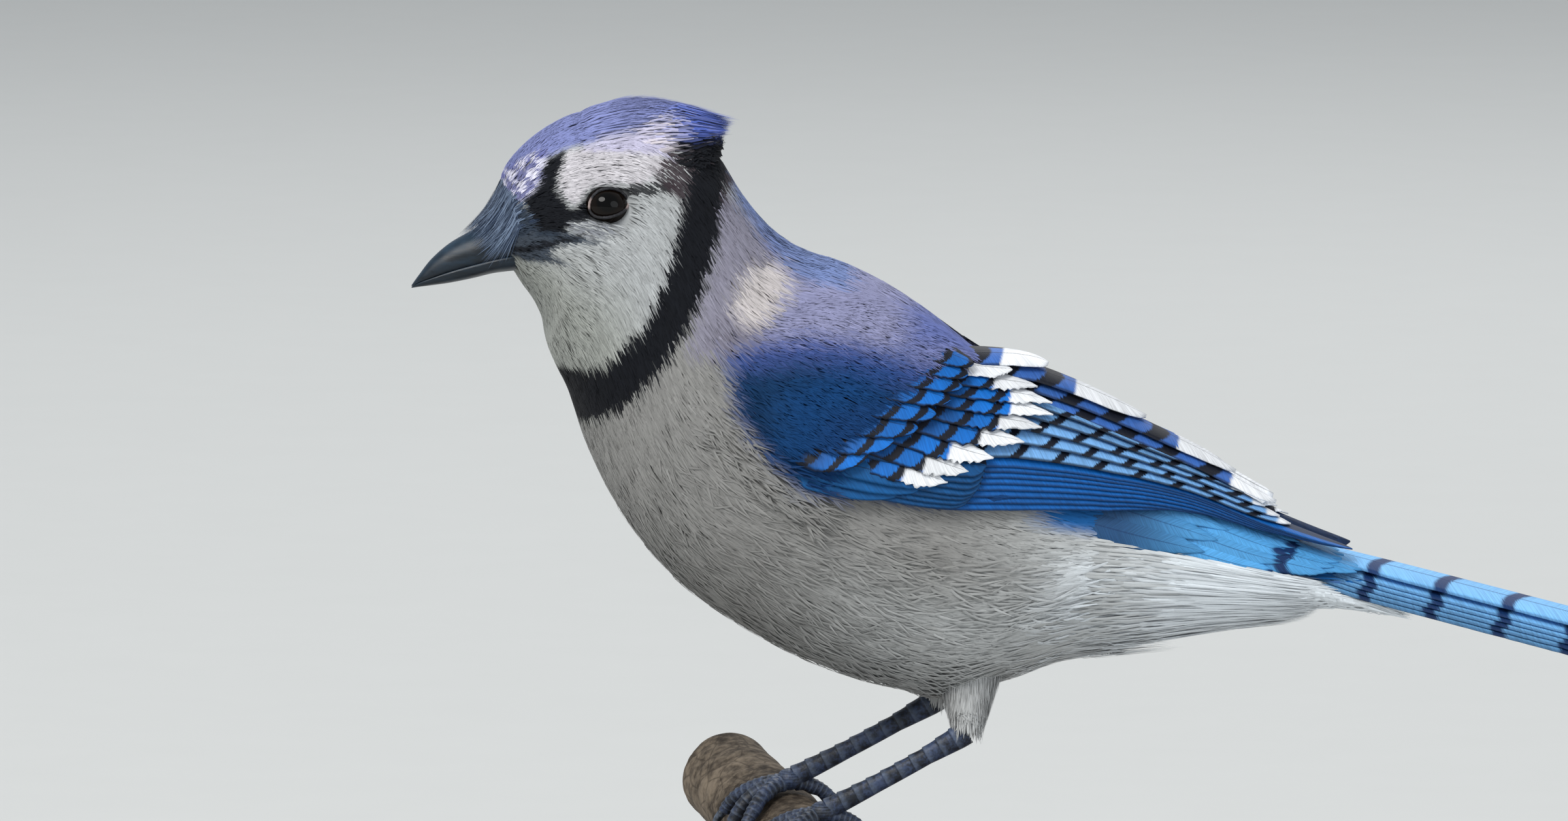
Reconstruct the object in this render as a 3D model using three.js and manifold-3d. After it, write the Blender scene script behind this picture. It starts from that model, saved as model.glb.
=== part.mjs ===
// A life-size blue jay, perched, as a museum model on a plain stand. Millimetres, +Z up.
// The bird faces -X and its left side faces -Y. The origin is the centre of the stand's underside.
import * as THREE from "three";
import { mergeVertices } from "three/addons/utils/BufferGeometryUtils.js";
import Module from "manifold-3d";

const wasm = await Module();
wasm.setup();

const rad = THREE.MathUtils.degToRad;
const deg = THREE.MathUtils.radToDeg;
const lerp = THREE.MathUtils.lerp;
const smooth = THREE.MathUtils.smoothstep;

// Driving dimensions. A vane is the flat blade of a feather.
const GAP = 0.3;
const VANE_THICK = 0.55;
const LEFT = -1;
const RIGHT = 1;
const SIDES = [
  { side: LEFT, word: "left" },
  { side: RIGHT, word: "right" },
];

// Cross-sections of the feathered body from the bill's base to the end of the tail coverts.
// Each row: top x, top z, bottom x, bottom z, half width, and how much wider it is below its middle.
const SECTIONS = [
  [-75.7, 182.4, -73.6, 168.3, 8.5, 0.05],
  [-74.7, 188.4, -70.7, 165.3, 11.0, 0.1],
  [-71.3, 193.1, -68.3, 162.0, 13.2, 0.14],
  [-66.0, 197.3, -66.4, 157.7, 15.2, 0.16],
  [-59.3, 200.5, -65.6, 153.1, 16.8, 0.16],
  [-51.3, 202.3, -63.7, 148.5, 18.0, 0.15],
  [-43.3, 201.6, -61.6, 144.4, 18.6, 0.13],
  [-36.3, 197.6, -60.0, 139.7, 19.0, 0.11],
  [-30.9, 191.2, -58.3, 134.4, 19.6, 0.1],
  [-26.7, 184.3, -55.7, 128.3, 20.8, 0.1],
  [-21.1, 177.1, -52.0, 121.1, 22.6, 0.1],
  [-14.0, 172.0, -46.0, 112.3, 24.0, 0.1],
  [-5.3, 169.1, -38.0, 103.6, 25.0, 0.1],
  [4.0, 164.5, -26.7, 95.7, 25.6, 0.1],
  [13.3, 158.2, -13.3, 88.5, 25.8, 0.1],
  [22.4, 150.8, 1.3, 83.5, 25.4, 0.1],
  [32.8, 145.0, 14.7, 81.9, 24.4, 0.08],
  [43.2, 138.8, 28.0, 84.3, 22.2, 0.05],
  [54.5, 132.3, 41.3, 89.3, 19.4, 0.0],
  [66.7, 125.2, 54.7, 93.1, 16.2, -0.06],
  [79.7, 117.4, 72.0, 94.7, 13.6, -0.1],
  [90.6, 112.1, 88.0, 96.4, 11.4, -0.14],
  [100.0, 108.4, 102.7, 97.3, 9.6, -0.16],
];
const LAST = SECTIONS.length - 1;
const BODY_SIDES = 20;

// Where the body is parted, as places along the sections, and half the width of each parting cut
const HEAD_END = 8.4;
const NECK_END = 11.2;
const TORSO_END = 20;
const PARTING = 0.05;

// The head is turned a little towards the bird's left
const HEAD_TURN = rad(8);
const TURN_PIVOT_X = -30;
const TURN_FULL = 8;
const TURN_NONE = 12.5;

// Colours of plumage, horn, bark and stand
const LAVENDER = 0x8c96be;
const GREY_WHITE = 0xb4b8bb;
const WING_BLUE = 0x1a62b4;
const TAIL_BLUE = 0x68a9d8;
const HORN = 0x2b3440;
const EYE_BROWN = 0x080605;
const BARK = 0x5a4634;
const STEEL = 0xb8b8b4;
const OILED_WOOD = 0x3a2a1e;

const part = new THREE.Group();

function add(name, geometry, color, roughness = 0.8, metalness = 0) {
  const material = new THREE.MeshStandardMaterial({ color, roughness, metalness });
  const mesh = new THREE.Mesh(geometry, material);
  mesh.name = name;
  part.add(mesh);
}

// Turns a point of the head with it
function turned(x, y, z, turn = HEAD_TURN) {
  const dx = x - TURN_PIVOT_X;
  const cos = Math.cos(turn);
  const sin = Math.sin(turn);
  return new THREE.Vector3(TURN_PIVOT_X + dx * cos - y * sin, dx * sin + y * cos, z);
}

const sectionCurve = (column) =>
  new THREE.CatmullRomCurve3(
    SECTIONS.map((row) => new THREE.Vector3(row[column], row[column + 1], 0)),
    false,
    "catmullrom",
    0.5,
  );
const topCurve = sectionCurve(0);
const bottomCurve = sectionCurve(2);
const widthCurve = sectionCurve(4);

// A point of the plumage: place along the body, degrees round from the top, height off the surface
function onBody(place, angle, lift = 0, side = LEFT) {
  const u = THREE.MathUtils.clamp(place / LAST, 0, 1);
  const top = topCurve.getPoint(u);
  const bottom = bottomCurve.getPoint(u);
  const { x: halfWidth, y: fuller } = widthCurve.getPoint(u);
  const middle = top.clone().add(bottom).multiplyScalar(0.5);
  const axis = top.clone().sub(bottom);
  const halfHeight = axis.length() / 2;
  axis.normalize();
  const c = Math.cos(rad(angle));
  const s = Math.sin(rad(angle));
  const rise = (halfHeight + lift) * c;
  const y = side * (halfWidth + lift) * s * (1 - fuller * c);
  const turn = HEAD_TURN * (1 - smooth(place, TURN_FULL, TURN_NONE));
  return turned(middle.x + axis.x * rise, y, middle.y + axis.y * rise, turn);
}

// The outward direction of the plumage
function outward(place, angle, side = LEFT) {
  const along = onBody(place + 0.05, angle, 0, side).sub(onBody(place - 0.05, angle, 0, side));
  const round = onBody(place, angle + 2, 0, side).sub(onBody(place, angle - 2, 0, side));
  const normal = along.cross(round).normalize();
  const out = onBody(place, angle, 1, side).sub(onBody(place, angle, 0, side));
  return normal.dot(out) < 0 ? normal.negate() : normal;
}

// Mean radius of the body at a place
function girth(place) {
  const u = THREE.MathUtils.clamp(place / LAST, 0, 1);
  const height = topCurve.getPoint(u).distanceTo(bottomCurve.getPoint(u));
  return (height / 2 + widthCurve.getPoint(u).x) / 2;
}

function geometryFrom(points, faces) {
  const geometry = new THREE.BufferGeometry();
  geometry.setFromPoints(points);
  geometry.setIndex(faces);
  return geometry;
}

// A closed surface through rings of points, with flat ends
function loft(rings) {
  const count = rings[0].length;
  const faces = [];
  for (let r = 0; r + 1 < rings.length; r++)
    for (let k = 0; k < count; k++) {
      const a = r * count + k;
      const b = r * count + ((k + 1) % count);
      faces.push(a, b, b + count, a, b + count, a + count);
    }
  const end = (rings.length - 1) * count;
  for (let k = 1; k + 1 < count; k++) {
    faces.push(0, k + 1, k);
    faces.push(end, end + k, end + k + 1);
  }
  return geometryFrom(rings.flat(), faces);
}

// A closed thin plate between an upper and a lower net of points, both split into triangles alike
function plate(upper, lower) {
  const rows = upper.length;
  const columns = upper[0].length;
  const under = rows * columns;
  const at = (r, c) => r * columns + c;
  const faces = [];
  for (let r = 0; r + 1 < rows; r++)
    for (let c = 0; c + 1 < columns; c++) {
      const quad = [at(r, c), at(r, c + 1), at(r + 1, c + 1), at(r + 1, c)];
      faces.push(quad[0], quad[1], quad[2], quad[0], quad[2], quad[3]);
      const [p, q, s, t] = quad.map((i) => i + under);
      faces.push(p, s, q, p, t, s);
    }
  const wall = (a, b) => faces.push(a, a + under, b + under, a, b + under, b);
  for (let c = 0; c + 1 < columns; c++) {
    wall(at(0, c), at(0, c + 1));
    wall(at(rows - 1, c + 1), at(rows - 1, c));
  }
  for (let r = 0; r + 1 < rows; r++) {
    wall(at(r + 1, 0), at(r, 0));
    wall(at(r, columns - 1), at(r + 1, columns - 1));
  }
  return geometryFrom([...upper.flat(), ...lower.flat()], faces);
}

// A geometry as a solid, turned the right way out
function solid(geometry) {
  const bare = geometry.clone();
  bare.deleteAttribute("normal");
  bare.deleteAttribute("uv");
  const merged = mergeVertices(bare, 1e-4);
  const vertProperties = new Float32Array(merged.attributes.position.array);
  const triVerts = new Uint32Array(merged.index.array);
  const make = () => new wasm.Manifold(new wasm.Mesh({ numProp: 3, vertProperties, triVerts }));
  const made = make();
  if (made.volume() > 0) return made;
  triVerts.reverse();
  return make();
}

function geometryOf(made) {
  const mesh = made.getMesh();
  const position = new Float32Array(mesh.numVert * 3);
  for (let i = 0; i < mesh.numVert; i++)
    position.set(mesh.vertProperties.subarray(i * mesh.numProp, i * mesh.numProp + 3), i * 3);
  const geometry = new THREE.BufferGeometry();
  geometry.setAttribute("position", new THREE.BufferAttribute(position, 3));
  geometry.setIndex(new THREE.BufferAttribute(mesh.triVerts, 1));
  return geometry;
}

// Joins pieces, cuts others away, and keeps the largest closed surface
function fuse(pieces, cuts = []) {
  let made = pieces.map(solid).reduce((all, piece) => all.add(piece));
  for (const cut of cuts) made = made.subtract(solid(cut));
  const bodies = made.decompose().sort((a, b) => b.volume() - a.volume());
  return geometryOf(bodies[0]);
}

// A tube of changing radius along a curve
function tube(curve, radiusAt, steps, sides) {
  const frames = curve.computeFrenetFrames(steps, false);
  const rings = [];
  for (let i = 0; i <= steps; i++) {
    const centre = curve.getPointAt(i / steps);
    const radius = radiusAt(i / steps);
    const ring = [];
    for (let k = 0; k < sides; k++) {
      const a = (2 * Math.PI * k) / sides;
      const point = centre.clone().addScaledVector(frames.normals[i], radius * Math.cos(a));
      ring.push(point.addScaledVector(frames.binormals[i], radius * Math.sin(a)));
    }
    rings.push(ring);
  }
  return loft(rings);
}

// A stretch of the body between two places, its surface raised by lift
function bodyStretch(from, to, steps, lift = () => 0) {
  const rings = [];
  for (let i = 0; i <= steps; i++) {
    const place = lerp(from, to, i / steps);
    const ring = [];
    for (let k = 0; k < BODY_SIDES; k++) {
      const round = (360 * k) / BODY_SIDES;
      const angle = Math.min(round, 360 - round);
      ring.push(onBody(place, angle, lift(place, angle), round <= 180 ? LEFT : RIGHT));
    }
    rings.push(ring);
  }
  return loft(rings);
}

// Half width of a vane along its length, as a share of its widest: a narrow root and a round tip
const VANE_ROOT = 0.4;
const VANE_FULL_BY = 0.35;
const VANE_TIP = 0.18;

function vaneWidth(u, roundness) {
  const root = lerp(VANE_ROOT, 1, smooth(u, 0, VANE_FULL_BY));
  const tip = Math.sqrt(Math.max(0, 1 - Math.max(0, (u - roundness) / (1 - roundness)) ** 2));
  return root * Math.max(tip, VANE_TIP);
}

// Value on a list of rows, between its first and last row
function between(rows, u) {
  const place = u * (rows.length - 1);
  const i = Math.min(Math.floor(place), rows.length - 2);
  return rows[i].map((value, c) => lerp(value, rows[i + 1][c], place - i));
}

// A point on the arc from root by way of a middle to the tip
function arc(root, via, tip, u) {
  return root.map((value, c) => (1 - u) ** 2 * value + 2 * u * (1 - u) * via[c] + u * u * tip[c]);
}

// One feather. Its arc runs in coordinates of along, across and height that toPoint turns into a
// point; perMillimetre says how many units of across a millimetre is there. The rows crowd towards
// the tip, where the outline turns most, and the vane is thinner there.
const ROW_CROWDING = 0.8;
const TIP_THINNING = 0.4;

function feather(shape, toPoint, perMillimetre) {
  const { root, via, tip, width, tilt = 0, bow = 0.4, rows = 5, columns = 3, round = 0.7 } = shape;
  const upper = [];
  const lower = [];
  for (let r = 0; r < rows; r++) {
    const u = (r / (rows - 1)) ** ROW_CROWDING;
    const [along, across, height] = arc(root, via, tip, u);
    const half = (width / 2) * vaneWidth(u, round);
    const thick = VANE_THICK * (1 - TIP_THINNING * smooth(u, 0.8, 1));
    const top = [];
    const below = [];
    for (let c = 0; c < columns; c++) {
      const side = (2 * c) / (columns - 1) - 1;
      const off = across + side * half * perMillimetre(along, height);
      const level = height + side * half * tilt + bow * (1 - side * side);
      top.push(toPoint(along, off, level + thick / 2));
      below.push(toPoint(along, off, level - thick / 2));
    }
    upper.push(top);
    lower.push(below);
  }
  return plate(upper, lower);
}

// A row of feathers whose roots, middles, tips and widths change evenly from the first to the last
function tier(rows, toPoint, perMillimetre) {
  const feathers = [];
  for (let i = 0; i < rows.count; i++) {
    const u = rows.count === 1 ? 0 : i / (rows.count - 1);
    const shape = {
      ...rows,
      root: between(rows.roots, u),
      via: between(rows.vias, u),
      tip: between(rows.tips, u),
      width: lerp(rows.widths[0], rows.widths[1], u),
    };
    feathers.push(feather(shape, toPoint, perMillimetre));
  }
  return feathers;
}

// Bill. Each row runs from tip to base: x, height of its ridge, mouth line and keel, half width
const BILL = [
  [-93.6, 165.7, 165.4, 165.1, 0.25],
  [-92.2, 167.6, 166.3, 165.3, 1.2],
  [-89.5, 171.0, 167.4, 165.6, 2.2],
  [-85.7, 174.2, 168.8, 166.1, 3.3],
  [-81.0, 176.8, 170.2, 167.0, 4.5],
  [-76.6, 179.2, 171.4, 168.0, 5.8],
  [-70.5, 181.0, 172.6, 168.6, 6.6],
];
const RIDGE = 1;
const MOUTH = 2;
const KEEL = 3;
const MOUTH_OPEN = 0.15;
const RIDGE_ROUNDNESS = 0.8;

// Half of the bill: flat along the mouth line, round over the ridge or under the keel
function mandible(round, grow = 0, rows = BILL) {
  const points = 8;
  const rings = rows.map((row, index) => {
    const way = Math.sign(row[round] - row[MOUTH]);
    const edge = row[MOUTH] + way * (MOUTH_OPEN - grow);
    const x = row[0] + (index === rows.length - 1 ? grow : 0);
    const ring = [];
    for (let k = 0; k <= points; k++) {
      const a = (Math.PI * k) / points;
      const z = lerp(edge, row[round] + way * grow, Math.sin(a) ** RIDGE_ROUNDNESS);
      ring.push(turned(x, (row[4] + grow) * Math.cos(a), z));
    }
    return ring;
  });
  return loft(rings);
}

add("bill_upper", fuse([mandible(RIDGE)]), HORN, 0.45);
add("bill_lower", fuse([mandible(KEEL)]), HORN, 0.45);

// Eyes: balls sunk in their sockets, each in an oval ring of lids
const EYE = { place: 5.0, angle: 72.5, radius: 4.5, sunk: 2.6, facets: 11 };
const LID = { radius: 3.75, thick: 0.6, long: 1.08, tall: 0.94, proud: 0.1, sides: 4, steps: 12 };

function eyeball(side, grow = 0) {
  const centre = onBody(EYE.place, EYE.angle, 0, side);
  centre.addScaledVector(outward(EYE.place, EYE.angle, side), -EYE.sunk);
  const ball = new THREE.SphereGeometry(EYE.radius + grow, EYE.facets, EYE.facets - 4);
  ball.translate(centre.x, centre.y, centre.z);
  return ball;
}

function lids(side) {
  const out = outward(EYE.place, EYE.angle, side);
  const fore = onBody(EYE.place - 1, EYE.angle, 0, side).sub(onBody(EYE.place, EYE.angle, 0, side));
  fore.addScaledVector(out, -fore.dot(out)).normalize();
  const up = out.clone().cross(fore);
  const ring = new THREE.TorusGeometry(LID.radius, LID.thick, LID.sides, LID.steps);
  ring.scale(LID.long, LID.tall, 1);
  ring.applyMatrix4(new THREE.Matrix4().makeBasis(fore, up, out));
  const seat = onBody(EYE.place, EYE.angle, LID.proud, side);
  ring.translate(seat.x, seat.y, seat.z);
  return ring;
}

for (const { side, word } of SIDES) add(`eye_${word}`, fuse([eyeball(side)]), EYE_BROWN, 0.05);

// Crest: rows of feathers from the crown, swept back to a point that stands off the nape. Each row
// lies over the next one, and its middle feather over its neighbours. The rows' tips: x and z.
const CREST = {
  columnAngle: 17,
  halfColumns: 2,
  width: 6,
  sunk: 1.9,
  rootDepth: 3.4,
  middleDepth: 0.4,
  tipLift: 0.3,
  tipAngle: 0.9,
  stepX: -1.4,
  stepY: 1.9,
  stepZ: -1.7,
  rows: [
    { root: 3.9, pull: 0, tip: [-41, 203] },
    { root: 4.9, pull: 0.45, tip: [-34, 200.6] },
    { root: 5.9, pull: 1, tip: [-28.7, 198.8] },
    { root: 6.7, pull: 1, tip: [-29.6, 196.6] },
  ],
  reach: 2.2,
};

// The skin lies lower under the crest, to leave room for the feathers
const CREST_BED = { starts: 3.4, full: 4.6, rises: 7.0, ends: 8.0, flatTo: 35, edge: 60 };

function underCrest(place, angle) {
  const fore = smooth(place, CREST_BED.starts, CREST_BED.full);
  const aft = 1 - smooth(place, CREST_BED.rises, CREST_BED.ends);
  return -CREST.sunk * fore * aft * (1 - smooth(angle, CREST_BED.flatTo, CREST_BED.edge));
}

// A feather between points in space, facing along a given direction
function freeFeather(shape, root, via, tip, facing) {
  const curve = new THREE.QuadraticBezierCurve3(root, via, tip);
  const toPoint = (along, across, height) => {
    const tangent = curve.getTangent(THREE.MathUtils.clamp(along, 0, 1));
    const sideways = tangent.clone().cross(facing).normalize();
    const up = sideways.clone().cross(tangent);
    const centre = curve.getPoint(THREE.MathUtils.clamp(along, 0, 1));
    return centre.addScaledVector(sideways, across).addScaledVector(up, height);
  };
  const straight = { root: [0, 0, 0], via: [0.5, 0, 0], tip: [1, 0, 0] };
  return feather({ ...shape, ...straight }, toPoint, () => 1);
}

function crest() {
  return CREST.rows.flatMap((row, r) => {
    const feathers = [];
    const shift = r % 2 ? 0.5 : 0;
    for (let c = -CREST.halfColumns + shift; c <= CREST.halfColumns - shift; c++) {
      const side = c < 0 ? LEFT : RIGHT;
      const step = Math.abs(c);
      const angle = step * CREST.columnAngle;
      const root = onBody(row.root, angle, -CREST.rootDepth, side);
      const via = onBody(row.root + CREST.reach / 2, angle, -CREST.middleDepth, side);
      const tip = onBody(row.root + CREST.reach, angle * CREST.tipAngle, CREST.tipLift, side);
      const point = turned(
        row.tip[0] + CREST.stepX * step,
        CREST.stepY * c,
        row.tip[1] + CREST.stepZ * step,
      );
      tip.lerp(point, row.pull);
      const shape = { width: CREST.width, rows: 4, columns: 3, bow: 0.3, round: 0.4 };
      feathers.push(freeFeather(shape, root, via, tip, outward(row.root, angle, side)));
    }
    return feathers;
  });
}

// Nasal bristles: short feathers laid forward over the base of the bill, which hide the nostrils
const BRISTLES = {
  count: 7,
  spread: 62,
  width: 2.1,
  rootPlace: 0.75,
  rootDepth: 1.6,
  bendX: -78.5,
  bendHeight: 2.0,
  tipX: -84.5,
  tipBack: 0.05,
  tipHeight: 0.3,
  clear: 0.75,
};
const BILL_LENGTH = BILL[BILL.length - 1][0] - BILL[0][0];

function bristles() {
  const feathers = [];
  for (let i = 0; i < BRISTLES.count; i++) {
    const turn = lerp(-BRISTLES.spread, BRISTLES.spread, i / (BRISTLES.count - 1));
    const side = turn < 0 ? LEFT : RIGHT;
    const sin = Math.sin(rad(turn));
    const cos = Math.cos(rad(turn));
    const root = onBody(BRISTLES.rootPlace, Math.abs(turn), -BRISTLES.rootDepth, side);
    const overBill = (x, height) => {
      const row = between(BILL, THREE.MathUtils.clamp((x - BILL[0][0]) / BILL_LENGTH, 0, 1));
      const y = (row[4] + BRISTLES.clear + height) * sin;
      const z = lerp(row[MOUTH], row[RIDGE], cos ** RIDGE_ROUNDNESS) + height * cos;
      return turned(x, y, z + BRISTLES.clear);
    };
    const tip = overBill(BRISTLES.tipX + BRISTLES.tipBack * Math.abs(turn), BRISTLES.tipHeight);
    const via = overBill(BRISTLES.bendX, BRISTLES.bendHeight);
    const out = new THREE.Vector3(0, sin, cos);
    const shape = { width: BRISTLES.width, rows: 4, columns: 2, bow: 0, round: 0.2 };
    feathers.push(freeFeather(shape, root, via, tip, out));
  }
  return feathers;
}

// The line of the mouth runs on as a groove from the bill to below the eye
const GAPE = { from: [-0.4, 117], to: [4.1, 91], deep: 1.1, proud: 1.2, wide: 0.5, steps: 5 };

function gape(side) {
  const upper = [];
  const lower = [];
  for (let i = 0; i <= GAPE.steps; i++) {
    const u = i / GAPE.steps;
    const place = lerp(GAPE.from[0], GAPE.to[0], u);
    const angle = lerp(GAPE.from[1], GAPE.to[1], u);
    const half = deg(GAPE.wide / 2 / girth(place));
    const deep = -GAPE.deep * (1 - smooth(u, 0.7, 1.2));
    upper.push([onBody(place, angle - half, deep, side), onBody(place, angle - half, GAPE.proud, side)]);
    lower.push([onBody(place, angle + half, deep, side), onBody(place, angle + half, GAPE.proud, side)]);
  }
  return plate(upper, lower);
}

const headCore = bodyStretch(0, HEAD_END - PARTING, 13, underCrest);
const headPieces = [headCore, lids(LEFT), lids(RIGHT), ...crest(), ...bristles()];
const billSeat = BILL.slice(-4);
const headCuts = [mandible(RIDGE, GAP, billSeat), mandible(KEEL, GAP, billSeat)];
for (const { side } of SIDES) headCuts.push(eyeball(side, GAP), gape(side));
add("head", fuse(headPieces, headCuts), LAVENDER);
add("neck", fuse([bodyStretch(HEAD_END + PARTING, NECK_END - PARTING, 4)]), GREY_WHITE);
add("torso", fuse([bodyStretch(NECK_END + PARTING, TORSO_END - PARTING, 16)]), GREY_WHITE);

// Folded wing: the feathered arm, as place, angle of upper and lower edge, and thickness
const ARM = [
  [10.9, 66, 80, 1.2],
  [11.5, 52, 88, 2.8],
  [12.2, 40, 95, 4.0],
  [13.0, 31, 96, 4.6],
  [13.8, 27, 92, 4.4],
  [14.5, 24, 86, 3.0],
];
const ARM_LIFT = 0.6;
const ARM_COLUMNS = 6;

// Lower and upper edge of the folded wing: place along the body and angle round it
const WING_LOW = [
  [12.2, 96], [13, 97], [14, 92], [15.6, 80], [16.7, 72], [17.8, 63], [19.3, 44], [20.4, 36], [22, 29],
];
const WING_TOP = [
  [12.2, 41], [13, 31], [14, 24], [15, 16], [16, 9], [17, 8], [19, 8], [20, 9], [22, 12],
];

// Tiers of the wing, each listed from the lower edge up. A row of roots, vias or tips holds the
// place along the body, the share of the way from the wing's lower edge to its upper, and the
// height off the body.
const WING_TIERS = [
  // Primaries, secondaries and tertials
  {
    count: 10,
    roots: [[13.0, 0.14, 1.5], [13.4, 0.34, 2.2], [13.9, 0.58, 2.6], [14.3, 0.82, 2.4]],
    vias: [[16.4, 0.04, 2.0], [17.3, 0.34, 3.3], [16.6, 0.64, 4.3], [15.2, 0.92, 5.0]],
    tips: [
      [19.7, 0.1, 1.8], [20.7, 0.2, 2.4], [21.8, 0.3, 2.9], [21.2, 0.4, 3.5], [20.2, 0.48, 4.0],
      [20.0, 0.57, 4.5], [19.5, 0.66, 5.0], [18.9, 0.76, 5.5], [17.9, 0.84, 5.9], [16.2, 0.91, 5.0],
    ],
    widths: [7, 8.5],
    tilt: 0.3,
    bow: 0.15,
    rows: 6,
  },
  // Primary coverts
  {
    count: 4,
    roots: [[12.6, 0.11, 1.6], [12.8, 0.27, 2.4]],
    vias: [[14.2, 0.03, 3.4], [14.4, 0.2, 5.0]],
    tips: [[15.1, 0.03, 3.0], [15.64, 0.15, 4.4]],
    widths: [5, 5.5],
    tilt: 0.25,
    bow: 0.15,
  },
  // The alula's small quills
  {
    count: 2,
    roots: [[12.2, 0.09, 1.8], [12.3, 0.18, 2.6]],
    vias: [[13.4, 0.05, 5.6], [13.5, 0.14, 6.6]],
    tips: [[14.5, 0.03, 4.6], [14.66, 0.11, 5.8]],
    widths: [4.5, 4.5],
    tilt: 0.2,
    bow: 0.15,
  },
  // Greater coverts
  {
    count: 7,
    roots: [[12.9, 0.36, 2.6], [13.3, 0.6, 3.2], [13.8, 0.82, 3.0]],
    vias: [[13.9, 0.31, 5.6], [14.9, 0.5, 5.8], [15.3, 0.74, 6.4]],
    tips: [[14.9, 0.21, 5.2], [15.7, 0.3, 5.4], [16.3, 0.42, 5.8], [16.4, 0.56, 6.2], [16.1, 0.69, 6.8]],
    widths: [6.5, 7],
    tilt: 0.22,
    bow: 0.15,
  },
  // Median coverts
  {
    count: 6,
    roots: [[12.1, 0.34, 2.6], [12.5, 0.6, 3.2], [13.1, 0.8, 2.8]],
    vias: [[12.9, 0.32, 6.6], [13.4, 0.55, 7.0], [14.0, 0.78, 7.2]],
    tips: [[13.5, 0.31, 6.3], [14.3, 0.52, 7.0], [14.8, 0.73, 7.6]],
    widths: [6, 6.5],
    tilt: 0.2,
    bow: 0.15,
    rows: 4,
  },
];

// The value at a place on an edge listed as rows of place and angle
function edgeAngle(edge, place) {
  const next = Math.max(1, edge.findIndex((row) => row[0] > place));
  const [a, b] = [edge[next - 1], edge[next]];
  return THREE.MathUtils.mapLinear(place, a[0], b[0], a[1], b[1]);
}

function arm(side) {
  const rings = ARM.map(([place, upper, lower, thick]) => {
    const angleAt = (k) => lerp(upper, lower, k / ARM_COLUMNS);
    const ring = [];
    for (let k = 0; k <= ARM_COLUMNS; k++) ring.push(onBody(place, angleAt(k), ARM_LIFT, side));
    for (let k = ARM_COLUMNS; k >= 0; k--) {
      const full = 0.5 + 0.5 * Math.sin((Math.PI * k) / ARM_COLUMNS) ** 0.5;
      ring.push(onBody(place, angleAt(k), ARM_LIFT + thick * full, side));
    }
    return ring;
  });
  return loft(rings);
}

function wing(side) {
  const toPoint = (place, share, lift) =>
    onBody(place, lerp(edgeAngle(WING_LOW, place), edgeAngle(WING_TOP, place), share), lift, side);
  const sharePerMillimetre = (place, lift) =>
    deg(1 / (girth(place) + lift)) / (edgeAngle(WING_TOP, place) - edgeAngle(WING_LOW, place));
  const feathers = WING_TIERS.flatMap((rows) => tier(rows, toPoint, sharePerMillimetre));
  return [arm(side), ...feathers];
}

// A slab on the far side of the middle, so that the two wings' tips stay apart
const SLAB = { length: 200, width: 60, height: 120, x: 60, z: 130 };

function farHalf(side) {
  const slab = new THREE.BoxGeometry(SLAB.length, SLAB.width, SLAB.height);
  slab.translate(SLAB.x, (-side * (SLAB.width - GAP)) / 2, SLAB.z);
  return slab;
}

const skinClear = bodyStretch(NECK_END - 1, LAST, 36, () => GAP);

// Tail: twelve feathers, a middle pair on top and the outer ones shorter and lower, closed like a
// shallow roof and rolled a little towards the bird's left
const TAIL = {
  rootX: 82,
  rootZ: 112.6,
  slope: rad(14.5),
  length: 102,
  shorter: 20,
  pairs: 6,
  layer: 0.75,
  lapped: 0.45,
  lap: 2,
  edge: 8.3,
  edgeStep: 1.04,
  width: 11.5,
  rootSpread: 0.75,
  roof: rad(12),
  roll: rad(8),
};

// A point of the tail: along it, across it to the bird's right, and above its middle
function onTail(along, across, height) {
  const y = across * Math.cos(TAIL.roof);
  const drop = height - Math.abs(across) * Math.sin(TAIL.roof);
  const rolledY = y * Math.cos(TAIL.roll) - drop * Math.sin(TAIL.roll);
  const rolledZ = y * Math.sin(TAIL.roll) + drop * Math.cos(TAIL.roll);
  const cos = Math.cos(TAIL.slope);
  const sin = Math.sin(TAIL.slope);
  const x = TAIL.rootX + along * cos + rolledZ * sin;
  return new THREE.Vector3(x, rolledY, TAIL.rootZ - along * sin + rolledZ * cos);
}

function tailFeathers() {
  const feathers = [];
  for (let pair = 0; pair < TAIL.pairs; pair++)
    for (const { side } of SIDES) {
      const length = TAIL.length - TAIL.shorter * (pair / (TAIL.pairs - 1)) ** 1.5;
      const outerEdge = TAIL.edge + TAIL.edgeStep * pair;
      const top = pair === 0 && side === LEFT;
      const innerEdge = top ? -TAIL.lap : Math.max(GAP, outerEdge - TAIL.width);
      const across = (side * (outerEdge + innerEdge)) / 2;
      const height = (top ? TAIL.lapped : -TAIL.lapped) - TAIL.layer * pair;
      const shape = {
        root: [0, across * TAIL.rootSpread, height],
        via: [length * 0.45, across, height + 0.5],
        tip: [length, across, height],
        width: outerEdge - innerEdge,
        round: 0.84,
        bow: 0.2,
      };
      feathers.push(feather(shape, onTail, () => 1));
    }
  return feathers;
}

// Coverts over and under the base of the tail: from and to are degrees round the body
const TAIL_COVERTS = [
  { from: -46, to: 42, tipAlong: 26, tipSpread: 4.4, tipHeight: 0.9, bendHeight: 2.2, width: 5.5 },
  { from: 132, to: 228, tipAlong: 29, tipSpread: 4.5, tipHeight: -6.4, bendHeight: -9.6, width: 6.5 },
];
const COVERT = { count: 5, rootPlace: 20.7, rootDepth: 2.2, bendAt: 0.5, bendSpread: 1.5, middleLonger: 4 };

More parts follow.
